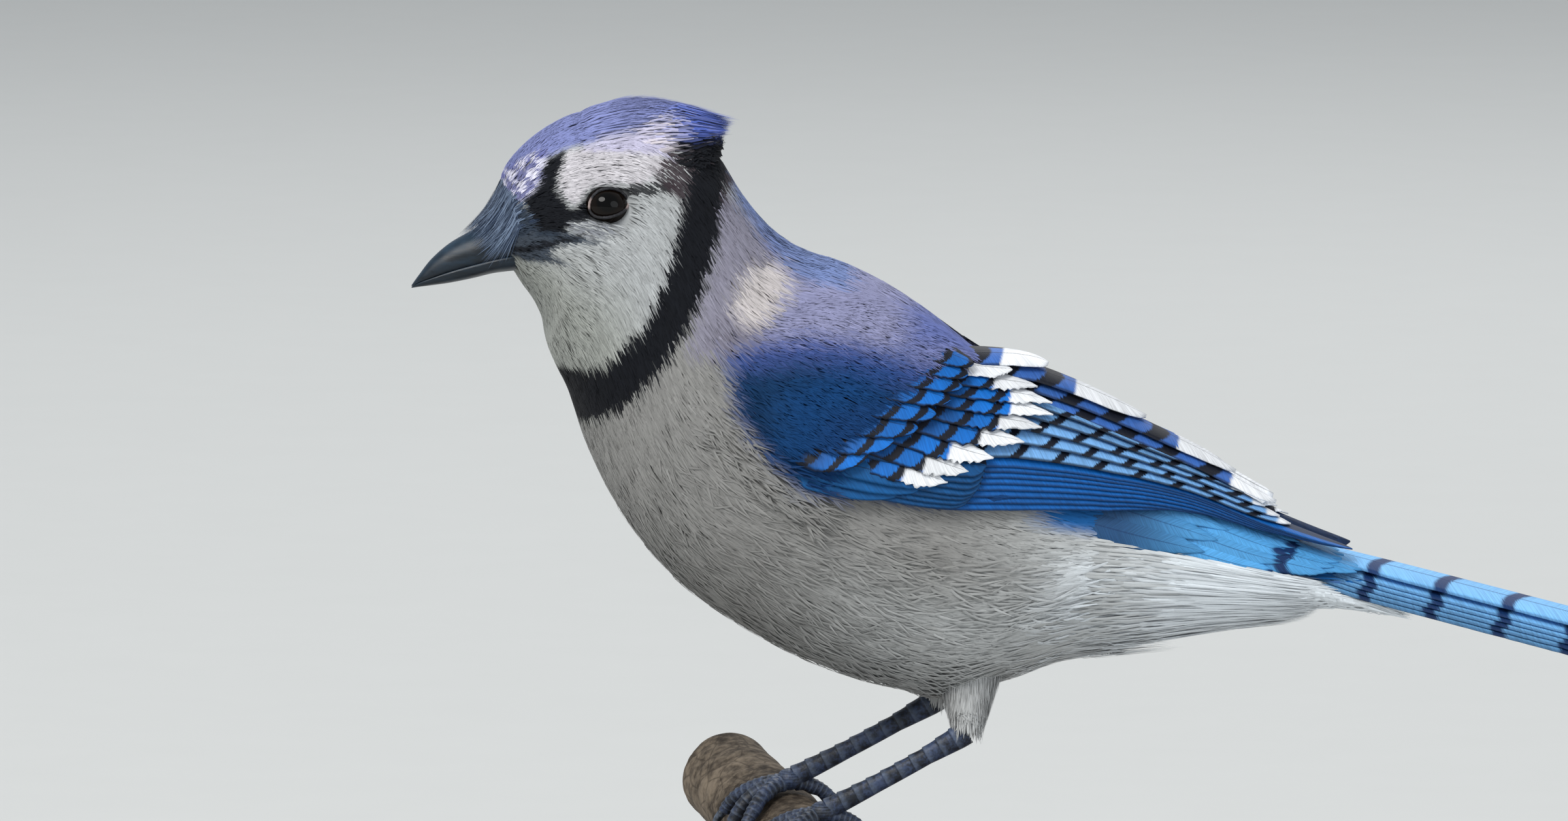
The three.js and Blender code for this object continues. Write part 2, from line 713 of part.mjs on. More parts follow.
function tailCoverts() {
  return TAIL_COVERTS.flatMap((row) => {
    const feathers = [];
    for (let i = 0; i < COVERT.count; i++) {
      const u = i / (COVERT.count - 1);
      const round = lerp(row.from, row.to, u);
      const side = round < 0 || round > 180 ? LEFT : RIGHT;
      const angle = Math.abs(round > 180 ? 360 - round : round);
      const across = lerp(-1, 1, u) * (row.from > 90 ? -1 : 1) * row.tipSpread;
      const middle = 1 - Math.abs(2 * u - 1);
      const root = onBody(COVERT.rootPlace, angle, -COVERT.rootDepth, side);
      const tip = onTail(row.tipAlong + COVERT.middleLonger * middle, across, row.tipHeight);
      const via = onTail(row.tipAlong * COVERT.bendAt, across * COVERT.bendSpread, row.bendHeight);
      const facing = new THREE.Vector3(0, side * Math.sin(rad(angle)), Math.cos(rad(angle)));
      const shape = { width: row.width, rows: 5, columns: 3, bow: 0.3, round: 0.5 };
      feathers.push(freeFeather(shape, root, via, tip, facing));
    }
    return feathers;
  });
}

const tailCore = bodyStretch(TORSO_END + PARTING, LAST, 5);
add("tail", fuse([tailCore, ...tailFeathers(), ...tailCoverts()]), TAIL_BLUE);
for (const { side, word } of SIDES)
  add(`wing_${word}`, fuse(wing(side), [skinClear, farHalf(side)]), WING_BLUE);

// Perch: a cut length of branch lying across under the feet
const PERCH = { radius: 10, length: 118, x: -13.3, z: 47.2, along: [-6.7, 24, 3.3] };
const PERCH_STEPS = 10;
const PERCH_SIDES = 16;
const perchAlong = new THREE.Vector3(...PERCH.along).normalize();
const perchUp = new THREE.Vector3(0, 0, 1).addScaledVector(perchAlong, -perchAlong.z).normalize();
const perchFore = perchAlong.clone().cross(perchUp).normalize();
if (perchFore.x > 0) perchFore.negate();

// A point round the perch: along it, degrees forward from its top, and distance from its axis
function roundPerch(along, angle, distance) {
  return new THREE.Vector3(PERCH.x, 0, PERCH.z)
    .addScaledVector(perchAlong, along)
    .addScaledVector(perchUp, distance * Math.cos(rad(angle)))
    .addScaledVector(perchFore, distance * Math.sin(rad(angle)));
}

function branch(half, steps, sides, radiusAt) {
  const rings = [];
  for (let i = 0; i <= steps; i++) {
    const ring = [];
    for (let k = 0; k < sides; k++) {
      const along = lerp(-half, half, i / steps);
      ring.push(roundPerch(along, (360 * k) / sides, radiusAt(i, k)));
    }
    rings.push(ring);
  }
  return loft(rings);
}

// Bark swells and sinks a little along the branch and round it
const SWELL = { depth: 0.25, along: 2.1, round: 1.3 };
const barkRadius = (i, k) =>
  PERCH.radius - SWELL.depth + SWELL.depth * Math.sin(i * SWELL.along + k * SWELL.round);
const perchClear = () => branch(PERCH.length, 1, 24, () => PERCH.radius + GAP);
add("perch", fuse([branch(PERCH.length / 2, PERCH_STEPS, PERCH_SIDES, barkRadius)]), BARK, 0.9);

// Stand: a flat base and one rod up to the perch
const BASE = { length: 150, width: 110, height: 12, corner: 10, edge: 1.5 };
const ROD = { radius: 4, sides: 20 };

function standBase() {
  const x = BASE.length / 2 - BASE.edge;
  const y = BASE.width / 2 - BASE.edge;
  const c = BASE.corner;
  const shape = new THREE.Shape();
  shape.absarc(x - c, -y + c, c, -Math.PI / 2, 0);
  shape.absarc(x - c, y - c, c, 0, Math.PI / 2);
  shape.absarc(-x + c, y - c, c, Math.PI / 2, Math.PI);
  shape.absarc(-x + c, -y + c, c, Math.PI, 1.5 * Math.PI);
  const bevel = { bevelThickness: BASE.edge, bevelSize: BASE.edge, bevelSegments: 1 };
  const base = new THREE.ExtrudeGeometry(shape, {
    depth: BASE.height - 2 * BASE.edge,
    curveSegments: 4,
    ...bevel,
  });
  base.translate(0, 0, BASE.edge);
  return base;
}

function standRod() {
  const bottom = BASE.height + GAP;
  const rod = new THREE.CylinderGeometry(ROD.radius, ROD.radius, PERCH.z - bottom, ROD.sides);
  rod.rotateX(Math.PI / 2);
  rod.translate(PERCH.x, 0, (PERCH.z + bottom) / 2);
  return rod;
}

add("stand_rod", fuse([standRod()], [perchClear()]), STEEL, 0.3, 0.9);
add("stand_base", fuse([standBase()]), OILED_WOOD, 0.5);

// Legs: a feathered thigh, a bare scaled shank, three toes forward and one back, each with a claw.
// Where each leg stands along the perch, and its ankle and hip
const LEGS = {
  [LEFT]: { along: -12.5, ankle: [20.0, -12.0, 74.3], hip: [24, -13, 96] },
  [RIGHT]: { along: 12.5, ankle: [14.5, 12.0, 77.8], hip: [20, 13, 98] },
};
const THIGH = { hip: 9.5, ankle: 3.0, taper: 0.8, steps: 6, sides: 12 };
const SHANK = { ankle: 2.3, middle: 1.5, foot: 2.0, scute: 0.12, bow: [0.6, 0, -0.4], steps: 11, sides: 8 };
const TOE = { radius: 1.7, steps: 7, sides: 6, taper: 0.25, pad: 0.07, pads: 3 };
const TOE_AXIS = PERCH.radius + GAP + TOE.radius;
const FOOT_PAD = { radius: 2.4, raised: 0.6, lifted: 0.2, sides: 8, rings: 6 };
const TOES = [
  { name: "inner", start: 6, sweep: 62, spread: -7.5, claw: 5.5 },
  { name: "middle", start: 8, sweep: 88, spread: 0.6, claw: 6.5 },
  { name: "outer", start: 6, sweep: 66, spread: 8.0, claw: 5.5 },
  { name: "hind", start: -6, sweep: -58, spread: 0, claw: 7.5 },
];
const CLAW = { base: 1.15, tip: 0.12, slender: 1.3, raised: 0.1, arch: 1.5, dip: 0.5, gap: 1.6 };
const CLAW_STEPS = 5;
const CLAW_SIDES = 6;

const footCentre = (side) => roundPerch(LEGS[side].along, 0, TOE_AXIS + FOOT_PAD.raised);

function thigh(side) {
  const hip = new THREE.Vector3(...LEGS[side].hip);
  const ankle = new THREE.Vector3(...LEGS[side].ankle);
  const radiusAt = (u) => lerp(THIGH.hip, THIGH.ankle, u ** THIGH.taper);
  return tube(new THREE.LineCurve3(hip, ankle), radiusAt, THIGH.steps, THIGH.sides);
}

function shank(side, grow = 0) {
  const ankle = new THREE.Vector3(...LEGS[side].ankle);
  const centre = footCentre(side);
  const along = centre.clone().sub(ankle).normalize();
  const from = ankle.clone().addScaledVector(along, -grow);
  const to = centre.clone().addScaledVector(along, grow - FOOT_PAD.radius + GAP);
  const bow = from.clone().lerp(to, 0.5).add(new THREE.Vector3(...SHANK.bow));
  const radiusAt = (u) => {
    const upper = lerp(SHANK.ankle, SHANK.middle, smooth(u, 0, 0.35));
    const lower = lerp(SHANK.middle, SHANK.foot, smooth(u, 0.6, 1));
    const scute = Math.round(u * SHANK.steps) % 2 ? SHANK.scute : 0;
    return (u < 0.5 ? upper : lower) + (grow || scute);
  };
  return tube(new THREE.QuadraticBezierCurve3(from, bow, to), radiusAt, SHANK.steps, SHANK.sides);
}

function toe(side, { start, sweep, spread }) {
  const points = [];
  for (let i = 0; i <= TOE.steps; i++) {
    const u = i / TOE.steps;
    const spreadAt = spread * smooth(u, -0.2, 1.1);
    points.push(roundPerch(LEGS[side].along + spreadAt, start + sweep * u, TOE_AXIS));
  }
  const padAt = (u) => TOE.pad * Math.cos(2 * Math.PI * TOE.pads * u);
  const radiusAt = (u) => TOE.radius * (1 - TOE.taper * u) * (1 - padAt(u));
  return tube(new THREE.CatmullRomCurve3(points), radiusAt, TOE.steps, TOE.sides);
}

function foot(side) {
  const pad = new THREE.SphereGeometry(FOOT_PAD.radius, FOOT_PAD.sides, FOOT_PAD.rings);
  const centre = footCentre(side);
  pad.translate(centre.x, centre.y, centre.z + FOOT_PAD.lifted);
  return fuse([pad, ...TOES.map((one) => toe(side, one))], [perchClear(), shank(side, GAP)]);
}

function claw(side, { start, sweep, spread, claw: length }) {
  const way = Math.sign(sweep);
  const from = start + sweep + way * CLAW.gap;
  const reach = deg(length / TOE_AXIS);
  const points = [];
  for (let i = 0; i <= CLAW_STEPS; i++) {
    const u = i / CLAW_STEPS;
    const distance = TOE_AXIS + CLAW.raised + CLAW.arch * Math.sin(0.8 * Math.PI * u) - CLAW.dip * u;
    points.push(roundPerch(LEGS[side].along + spread, from + way * reach * u, distance));
  }
  const radiusAt = (u) => lerp(CLAW.base, CLAW.tip, u ** CLAW.slender);
  return tube(new THREE.CatmullRomCurve3(points), radiusAt, CLAW_STEPS, CLAW_SIDES);
}

for (const { side, word } of SIDES) {
  add(`thigh_${word}`, fuse([thigh(side)], [skinClear, shank(side, GAP)]), GREY_WHITE);
  add(`shank_${word}`, fuse([shank(side)]), HORN, 0.6);
  add(`foot_${word}`, foot(side), HORN, 0.6);
  for (const one of TOES) add(`claw_${word}_${one.name}`, fuse([claw(side, one)]), HORN, 0.4);
}

export default part;
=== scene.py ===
import math

import bpy
import numpy as np
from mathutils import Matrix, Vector


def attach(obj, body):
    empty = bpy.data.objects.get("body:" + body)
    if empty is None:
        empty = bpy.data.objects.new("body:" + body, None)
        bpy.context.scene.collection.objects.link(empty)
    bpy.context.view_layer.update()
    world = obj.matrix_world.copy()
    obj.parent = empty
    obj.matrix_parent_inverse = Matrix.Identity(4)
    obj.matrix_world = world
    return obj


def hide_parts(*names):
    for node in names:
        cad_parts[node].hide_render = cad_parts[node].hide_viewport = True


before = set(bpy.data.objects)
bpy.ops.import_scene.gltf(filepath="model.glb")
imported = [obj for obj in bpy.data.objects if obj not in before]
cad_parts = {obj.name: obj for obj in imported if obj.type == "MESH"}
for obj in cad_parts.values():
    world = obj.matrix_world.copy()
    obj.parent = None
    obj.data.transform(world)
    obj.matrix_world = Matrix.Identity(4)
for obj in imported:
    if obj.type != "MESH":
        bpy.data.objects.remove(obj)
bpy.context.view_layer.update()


# Stand base. A board of dark oiled hardwood, sawn to size, its corners rounded and its edges eased
# with a plane. The rod is let into its top.
MM = 0.001
BOARD = {"length": 150, "width": 110, "height": 12, "corner": 10, "ease": 1.6, "foot_ease": 0.5}
EASE_STEPS = 5
WOOD_DARK = (0.030, 0.015, 0.008)
WOOD_LIGHT = (0.115, 0.058, 0.030)


def mesh_piece(name, points, *faces):
    """An object from points in millimetres and arrays of faces, each array of one count of corners."""
    points = np.asarray(points, float).reshape(-1, 3)
    volume = 0.0
    for corners in faces:
        first = points[corners[:, 0]]
        for k in range(1, corners.shape[1] - 1):
            turn = np.cross(points[corners[:, k]], points[corners[:, k + 1]])
            volume += np.einsum("ij,ij->", first, turn)
    if volume < 0:
        faces = [corners[:, ::-1] for corners in faces]
    mesh = bpy.data.meshes.new(name)
    mesh.vertices.add(len(points))
    mesh.vertices.foreach_set("co", (points * MM).astype(np.float32).ravel())
    counts = np.concatenate([np.full(len(corners), corners.shape[1]) for corners in faces])
    order = np.concatenate([corners.ravel() for corners in faces]).astype(np.int32)
    mesh.loops.add(len(order))
    mesh.loops.foreach_set("vertex_index", order)
    mesh.polygons.add(len(counts))
    mesh.polygons.foreach_set("loop_start", (np.cumsum(counts) - counts).astype(np.int32))
    mesh.update(calc_edges=True)
    mesh.validate()
    mesh.shade_smooth()
    piece = bpy.data.objects.new(name, mesh)
    bpy.context.scene.collection.objects.link(piece)
    return piece


def set_on(piece, slot, *nodes, material=None):
    """The piece rides on the one body, takes the material if one is given and stands for the nodes; the slot
    is not used.
    """
    if material:
        piece.data.materials.append(material)
    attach(piece, "root")
    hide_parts(*nodes)
    return piece


def ring_faces(rings, columns):
    """Quads between closed rings of points, and the two end faces."""
    a = np.arange(rings - 1)[:, None] * columns + np.arange(columns)
    b = np.arange(rings - 1)[:, None] * columns + (np.arange(columns) + 1) % columns
    walls = np.stack([a, b, b + columns, a + columns], -1).reshape(-1, 4)
    first = np.arange(columns)[None, ::-1]
    last = (rings - 1) * columns + np.arange(columns)[None]
    return walls, first, last


def new_material(name, roughness, specular=0.5, **constants):
    """A material, its node tree and its Principled shader with constants set on its own sockets."""
    material = bpy.data.materials.new(name)
    material.use_nodes = True
    shader = material.node_tree.nodes["Principled BSDF"]
    shader.inputs["Roughness"].default_value = roughness
    shader.inputs["Specular IOR Level"].default_value = specular
    for socket, value in constants.items():
        shader.inputs[socket.replace("_", " ")].default_value = value
    return material, material.node_tree, shader


def wire(tree, kind, *values, **settings):
    """Adds a node and feeds its inputs in order with numbers, colours or other nodes' outputs."""
    node = tree.nodes.new("ShaderNode" + kind)
    for key, value in settings.items():
        setattr(node, key, value)
    for socket, value in zip(node.inputs, values):
        if isinstance(value, bpy.types.NodeSocket):
            tree.links.new(value, socket)
        elif value is not None:
            socket.default_value = value
    return node


def reckon(tree, operation, *values):
    return wire(tree, "Math", *values, operation=operation).outputs[0]


def fade(tree, value, low, high, start=0.0, end=1.0):
    """A smooth change from start to end as the value goes from low to high."""
    return wire(tree, "MapRange", value, low, high, start, end, interpolation_type="SMOOTHSTEP").outputs[0]


def blend(tree, share, first, second, way="MIX"):
    """One colour into another, each a constant or a node's output."""
    node = wire(tree, "Mix", share, data_type="RGBA", blend_type=way)
    for socket, value in ((node.inputs[6], first), (node.inputs[7], second)):
        if isinstance(value, bpy.types.NodeSocket):
            tree.links.new(value, socket)
        else:
            socket.default_value = (*value, 1)
    return node.outputs[2]


def own_place(tree, *stretch):
    """The object's own coordinates, stretched along each axis where a stretch is given."""
    place = wire(tree, "TexCoord").outputs["Object"]
    return wire(tree, "Mapping", place, None, None, stretch).outputs[0] if stretch else place


def bump(tree, shader, height, strength, distance):
    node = wire(tree, "Bump", strength, distance)
    tree.links.new(height, node.inputs["Height"])
    tree.links.new(node.outputs[0], shader.inputs["Normal"])


def speckle_group():
    """Fine specks and broad patches on a surface: how dark it is and how high."""
    tree = bpy.data.node_groups.new("Specks and patches", "ShaderNodeTree")
    for name, default in (("Specks", 900.0), ("Patches", 60.0), ("Depth", 0.5)):
        socket = tree.interface.new_socket(name, in_out="INPUT", socket_type="NodeSocketFloat")
        socket.default_value = default
    for name in ("Shade", "Height"):
        tree.interface.new_socket(name, in_out="OUTPUT", socket_type="NodeSocketFloat")
    given = tree.nodes.new("NodeGroupInput")
    result = tree.nodes.new("NodeGroupOutput")
    place = tree.nodes.new("ShaderNodeTexCoord").outputs["Object"]
    fine = wire(tree, "TexNoise", place, None, given.outputs["Specks"], 4.0, 0.6)
    broad = wire(tree, "TexNoise", place, None, given.outputs["Patches"], 3.0, 0.5)
    half_broad = reckon(tree, "MULTIPLY", broad.outputs[0], 0.5)
    both = reckon(tree, "MULTIPLY_ADD", fine.outputs[0], 0.5, half_broad)
    spread = reckon(tree, "MULTIPLY", reckon(tree, "SUBTRACT", both, 0.5), given.outputs["Depth"])
    tree.links.new(reckon(tree, "ADD", spread, 1.0), result.inputs["Shade"])
    tree.links.new(both, result.inputs["Height"])
    return tree


SPECKS = speckle_group()


def specks(tree, fine, broad, depth):
    """The specks group placed in a material: its shade and its height."""
    node = tree.nodes.new("ShaderNodeGroup")
    node.node_tree = SPECKS
    for name, value in (("Specks", fine), ("Patches", broad), ("Depth", depth)):
        node.inputs[name].default_value = value
    return node.outputs["Shade"], node.outputs["Height"]


def shaded(tree, colour, shade):
    """A colour multiplied by a shade."""
    grey = wire(tree, "CombineColor", shade, shade, shade).outputs[0]
    return blend(tree, 1.0, colour, grey, "MULTIPLY")


def colour_in(tree, shader, colour, shade):
    """Feeds the base colour, dulled by the specks' shade."""
    tree.links.new(shaded(tree, colour, shade), shader.inputs["Base Color"])


def board_outline(inset, arc_steps=10):
    """The board's outline, drawn in by inset, as arcs round its four corners."""
    x = BOARD["length"] / 2 - BOARD["corner"]
    y = BOARD["width"] / 2 - BOARD["corner"]
    radius = BOARD["corner"] - inset
    points = []
    for corner, (sx, sy) in enumerate(((1, 1), (-1, 1), (-1, -1), (1, -1))):
        for k in range(arc_steps + 1):
            a = math.pi / 2 * (corner + k / arc_steps)
            points.append((sx * x + radius * math.cos(a), sy * y + radius * math.sin(a)))
    return np.array(points)


def stand_board():
    ease = BOARD["ease"]
    rings = [(BOARD["foot_ease"], 0.0), (0.0, BOARD["foot_ease"])]
    for k in range(EASE_STEPS + 1):
        a = math.pi / 2 * k / EASE_STEPS
        rings.append((ease * (1 - math.cos(a)), BOARD["height"] - ease * (1 - math.sin(a))))
    points = []
    for inset, z in rings:
        outline = board_outline(inset)
        points.append(np.column_stack([outline, np.full(len(outline), z)]))
    walls, bottom, top = ring_faces(len(rings), len(points[0]))
    return mesh_piece("stand_board", np.concatenate(points), walls, bottom, top)


oiled_wood, tree, shader = new_material("oiled wood", 0.42, 0.4, Coat_Weight=0.15)
grain = wire(tree, "TexNoise", own_place(tree, 14, 160, 90), None, 1.0, 6.0, 0.62, None, None, 1.2).outputs[0]
shade, _ = specks(tree, 700.0, 30.0, 0.35)
wood_colour = blend(tree, fade(tree, grain, 0.34, 0.66), WOOD_DARK, WOOD_LIGHT)
colour_in(tree, shader, wood_colour, shade)
tree.links.new(fade(tree, grain, 0.3, 0.7, 0.5, 0.34), shader.inputs["Roughness"])
bump(tree, shader, grain, 0.25, 0.0004)
set_on(stand_board(), "stand_wood", "stand_base", material=oiled_wood)


# Stand rod. A length of bright drawn steel, turned to a small shoulder where it enters the board,
# and screwed up into the underside of the perch.
ROD = {
    "radius": 4.0, "x": -13.3, "bottom": 12.05, "top": 40.0,
    "shoulder": 1.2, "shoulder_height": 1.5, "bevel": 0.3,
}
STEEL = (0.56, 0.56, 0.55)


def full_turn(count):
    """Angles evenly round a circle."""
    return np.linspace(0, 2 * math.pi, count, endpoint=False)


def stand_rod(columns=48):
    thin, wide, bevel = ROD["radius"], ROD["radius"] + ROD["shoulder"], ROD["bevel"]
    low, high = ROD["bottom"], ROD["bottom"] + ROD["shoulder_height"]
    profile = (
        (wide - bevel, low), (wide, low + bevel), (wide, high - bevel), (wide - bevel, high),
        (thin, high), (thin, ROD["top"]),
    )
    a = full_turn(columns)
    points = [
        np.column_stack([ROD["x"] + p * np.cos(a), p * np.sin(a), np.full(columns, z)])
        for p, z in profile
    ]
    return mesh_piece("stand_steel_rod", np.concatenate(points), *ring_faces(len(profile), columns))


bright_steel, tree, shader = new_material("bright steel", 0.28, Metallic=1.0)
marks = wire(tree, "TexNoise", own_place(tree, 900, 900, 25), None, 1.0, 3.0, 0.5).outputs[0]
shade, _ = specks(tree, 500.0, 80.0, 0.2)
colour_in(tree, shader, STEEL, shade)
tree.links.new(fade(tree, marks, 0.3, 0.7, 0.2, 0.36), shader.inputs["Roughness"])
bump(tree, shader, marks, 0.08, 0.0001)
rod = set_on(stand_rod(), "stand_metal", "stand_rod", material=bright_steel)
rod.modifiers.new("crisp edges", "EDGE_SPLIT").split_angle = math.radians(35)


# Perch. A cut length of branch with its bark on, lying across under the feet. Its ends are sawn
# square and show the rings of the wood.
PERCH = {
    "radius": 9.7, "half": 59.0, "sawn_proud": 0.15, "middle": np.array((-13.3, 0, 47.2)),
    "along": (-6.7, 24.0, 3.3),
}
BARK_DARK = (0.030, 0.022, 0.016)
BARK_LIGHT = (0.200, 0.160, 0.118)
SAWN_WOOD = (0.42, 0.30, 0.18)
SAWN_RING = (0.24, 0.15, 0.08)



def unit(vectors):
    """Vectors made one long."""
    return vectors / np.linalg.norm(vectors, axis=-1, keepdims=True)


perch_along = unit(np.array(PERCH["along"]))
perch_up = unit(np.array((0, 0, 1.0)) - perch_along * perch_along[2])
perch_fore = np.cross(perch_along, perch_up)
perch_fore *= -np.sign(perch_fore[0])


def round_perch(along, degrees, distance):
    """A point round the perch: along it, degrees forward from its top, distance from its axis."""
    a = np.radians(np.asarray(degrees, float))[..., None]
    spoke = perch_up * np.cos(a) + perch_fore * np.sin(a)
    centre = PERCH["middle"] + np.asarray(along, float)[..., None] * perch_along
    return centre + np.asarray(distance, float)[..., None] * spoke


def waves(rng, count, along, round_, reach):
    """Gentle irregular swelling: a sum of waves along and round a thing."""
    total = np.zeros(np.broadcast(along, round_).shape)
    for _ in range(count):
        turns = rng.integers(0, reach)
        wave = np.sin(along * rng.normal(0, 0.35) + turns * round_ + rng.uniform(0, 6.3))
        total += wave / (1 + 0.35 * turns)
    return total / math.sqrt(count)


def number_points(piece, name, values):
    """A number for each point of a piece, or one number for them all."""
    values = np.broadcast_to(np.asarray(values, np.float32), len(piece.data.vertices)).ravel()
    piece.data.attributes.new(name, "FLOAT", "POINT").data.foreach_set("value", values)


def perch_branch(rings=200, columns=96):
    rng = np.random.default_rng(11)
    along = np.linspace(-PERCH["half"], PERCH["half"], rings)[:, None]
    degrees = np.linspace(0, 360, columns, endpoint=False)[None]
    rough = 0.22 * waves(rng, 16, along * 0.5, np.radians(degrees), 5)
    furrow = waves(rng, 26, along * 2.2, np.radians(degrees), 26)
    rough = rough - 0.22 * np.clip(np.abs(furrow) * -1.6 + 0.9, 0, 1) ** 1.5
    distance = PERCH["radius"] + rough
    points = round_perch(along + 0 * degrees, degrees + 0 * along, distance)
    rounded = points.reshape(-1, 3)
    walls, _, _ = ring_faces(rings, columns)
    ends, caps, base = [], [], len(rounded)
    for ring, way in ((0, -1), (rings - 1, 1)):
        cut = way * (PERCH["half"] + PERCH["sawn_proud"])
        ends += [
            round_perch(cut + 0 * degrees[0], degrees[0], distance[ring] * share)
            for share in (0.93, 0.6, 0.3)
        ]
        ends.append(round_perch([cut], [0], [0.0]))
        loops = [
            start + np.arange(columns)
            for start in (ring * columns, *(base + k * columns for k in range(3)))
        ]
        for outer, inner in zip(loops, loops[1:]):
            quads = np.stack([outer, np.roll(outer, -1), np.roll(inner, -1), inner], -1)
            caps.append(quads[:, ::-way])
        fan = np.stack([loops[3], np.roll(loops[3], -1), np.full(columns, base + 3 * columns)], -1)
        caps.append(fan[:, ::-way])
        base += 3 * columns + 1
    piece = mesh_piece("perch_branch", np.concatenate([rounded, *ends]), walls[:, ::-1], *caps)
    number_points(piece, "sawn", np.arange(len(piece.data.vertices)) >= len(rounded))
    return piece


def read(tree, name):
    """A number that the points of a piece carry."""
    return wire(tree, "Attribute", attribute_name=name).outputs["Fac"]


bark, tree, shader = new_material("bark", 0.88, 0.25)
place = own_place(tree)
cracks = wire(
    tree, "TexVoronoi", place, None, 190.0, None, None, None, 1.0, feature="DISTANCE_TO_EDGE",
).outputs[0]
shade, height = specks(tree, 420.0, 45.0, 0.7)
crust = blend(tree, fade(tree, height, 0.36, 0.62), BARK_DARK, BARK_LIGHT)
crust = blend(tree, fade(tree, cracks, 0.0, 0.06, 0.55, 0.0), crust, BARK_DARK)
from_middle = wire(tree, "VectorMath", place, tuple(PERCH["middle"] * MM), operation="SUBTRACT")
off_axis = wire(tree, "VectorMath", from_middle.outputs[0], tuple(perch_along), operation="CROSS_PRODUCT")
from_heart = wire(tree, "VectorMath", off_axis.outputs[0], operation="LENGTH").outputs["Value"]
wobble = wire(tree, "TexNoise", place, None, 120.0, 2.0).outputs[0]
year = reckon(tree, "MULTIPLY_ADD", wobble, 0.002, from_heart)
year = reckon(tree, "PINGPONG", reckon(tree, "MULTIPLY", year, 900.0), 0.5)
ends = blend(tree, fade(tree, year, 0.05, 0.35), SAWN_RING, SAWN_WOOD)
colour_in(tree, shader, blend(tree, fade(tree, read(tree, "sawn"), 0.3, 0.7), crust, ends), shade)
bump(tree, shader, reckon(tree, "MULTIPLY_ADD", cracks, 1.5, height), 0.5, 0.0006)
set_on(perch_branch(), "perch_bark", "perch", material=bark)


# Body. One skin over head, neck, trunk and the root of the tail, shaped as the bird's outline from
# above and below and as wide as the species. It swells over the folded arm of each wing and sinks
# round the eyes. The coat covers it everywhere.
SECTIONS = np.array([
    # top x, top z, bottom x, bottom z, half width, how much wider below its middle
    (-75.7, 182.4, -73.6, 168.3, 8.5, 0.05),
    (-74.7, 188.4, -70.7, 165.3, 11.0, 0.1),
    (-71.3, 193.1, -68.3, 162.0, 13.2, 0.14),
    (-66.0, 197.3, -66.4, 157.7, 15.2, 0.16),
    (-59.3, 200.5, -65.6, 153.1, 16.8, 0.16),
    (-51.3, 202.3, -63.7, 148.5, 18.0, 0.15),
    (-43.3, 201.6, -61.6, 144.4, 18.6, 0.13),
    (-36.3, 197.6, -60.0, 139.7, 19.0, 0.11),
    (-30.9, 191.2, -58.3, 134.4, 19.6, 0.1),
    (-26.7, 184.3, -55.7, 128.3, 20.8, 0.1),
    (-21.1, 177.1, -52.0, 121.1, 22.6, 0.1),
    (-14.0, 172.0, -46.0, 112.3, 24.0, 0.1),
    (-5.3, 169.1, -38.0, 103.6, 25.0, 0.1),
    (4.0, 164.5, -26.7, 95.7, 25.6, 0.1),
    (13.3, 158.2, -13.3, 88.5, 25.8, 0.1),
    (22.4, 150.8, 1.3, 83.5, 25.4, 0.1),
    (32.8, 145.0, 14.7, 81.9, 24.4, 0.08),
    (43.2, 138.8, 28.0, 84.3, 22.2, 0.05),
    (54.5, 132.3, 41.3, 89.3, 19.4, 0.0),
    (66.7, 125.2, 54.7, 93.1, 16.2, -0.06),
    (79.7, 117.4, 72.0, 94.7, 13.6, -0.1),
    (90.6, 112.1, 88.0, 96.4, 11.4, -0.14),
    (100.0, 108.4, 102.7, 97.3, 9.6, -0.16),
])
LAST = len(SECTIONS) - 1
HEAD_TURN = math.radians(8)
TURN_PIVOT_X = -30.0
VIEW_RISE = math.sin(math.radians(7))
SIDES = {"left": -1, "right": 1}


def smooth(value, low, high):
    """Smooth step from 0 at low to 1 at high."""
    u = np.clip((np.asarray(value, float) - low) / (high - low), 0, 1)
    return u * u * (3 - 2 * u)


def along_rows(rows, place):
    """A smooth curve through rows, at places counted in rows."""
    padded = np.vstack([2 * rows[0] - rows[1], rows, 2 * rows[-1] - rows[-2]])
    step = np.clip(np.floor(place).astype(int), 0, len(rows) - 2)
    u = (place - step)[..., None]
    a, b, c, d = (padded[step + k] for k in range(4))
    return (
        0.5
        * (2 * b + (c - a) * u + (2 * a - 5 * b + 4 * c - d) * u**2 + (3 * b - a - 3 * c + d) * u**3)
    )


def with_head(x, y, z, turn=HEAD_TURN):
    """Points turned with the head about the upright line through the nape."""
    dx = x - TURN_PIVOT_X
    return np.stack(
        [TURN_PIVOT_X + dx * np.cos(turn) - y * np.sin(turn), dx * np.sin(turn) + y * np.cos(turn), z],
        -1,
    )


def on_body(place, round_, lift=0.0):
    """A point of the plumage: place along the body, degrees round from the top (left is minus), lift."""
    place = np.clip(np.asarray(place, float), 0, LAST)
    place, round_, lift = np.broadcast_arrays(place, np.asarray(round_, float), np.asarray(lift, float))
    row = along_rows(SECTIONS, place)
    middle = (row[..., 0:2] + row[..., 2:4]) / 2
    axis = row[..., 0:2] - row[..., 2:4]
    tall = np.linalg.norm(axis, axis=-1)
    axis = axis / tall[..., None]
    cos = np.cos(np.radians(round_))
    sin = np.sin(np.radians(round_))
    rise = (tall / 2 + lift) * cos
    y = (row[..., 4] + lift) * sin * (1 - row[..., 5] * cos)
    turn = HEAD_TURN * (1 - smooth(place, 8, 12.5))
    return with_head(middle[..., 0] + axis[..., 0] * rise, y, middle[..., 1] + axis[..., 1] * rise, turn)


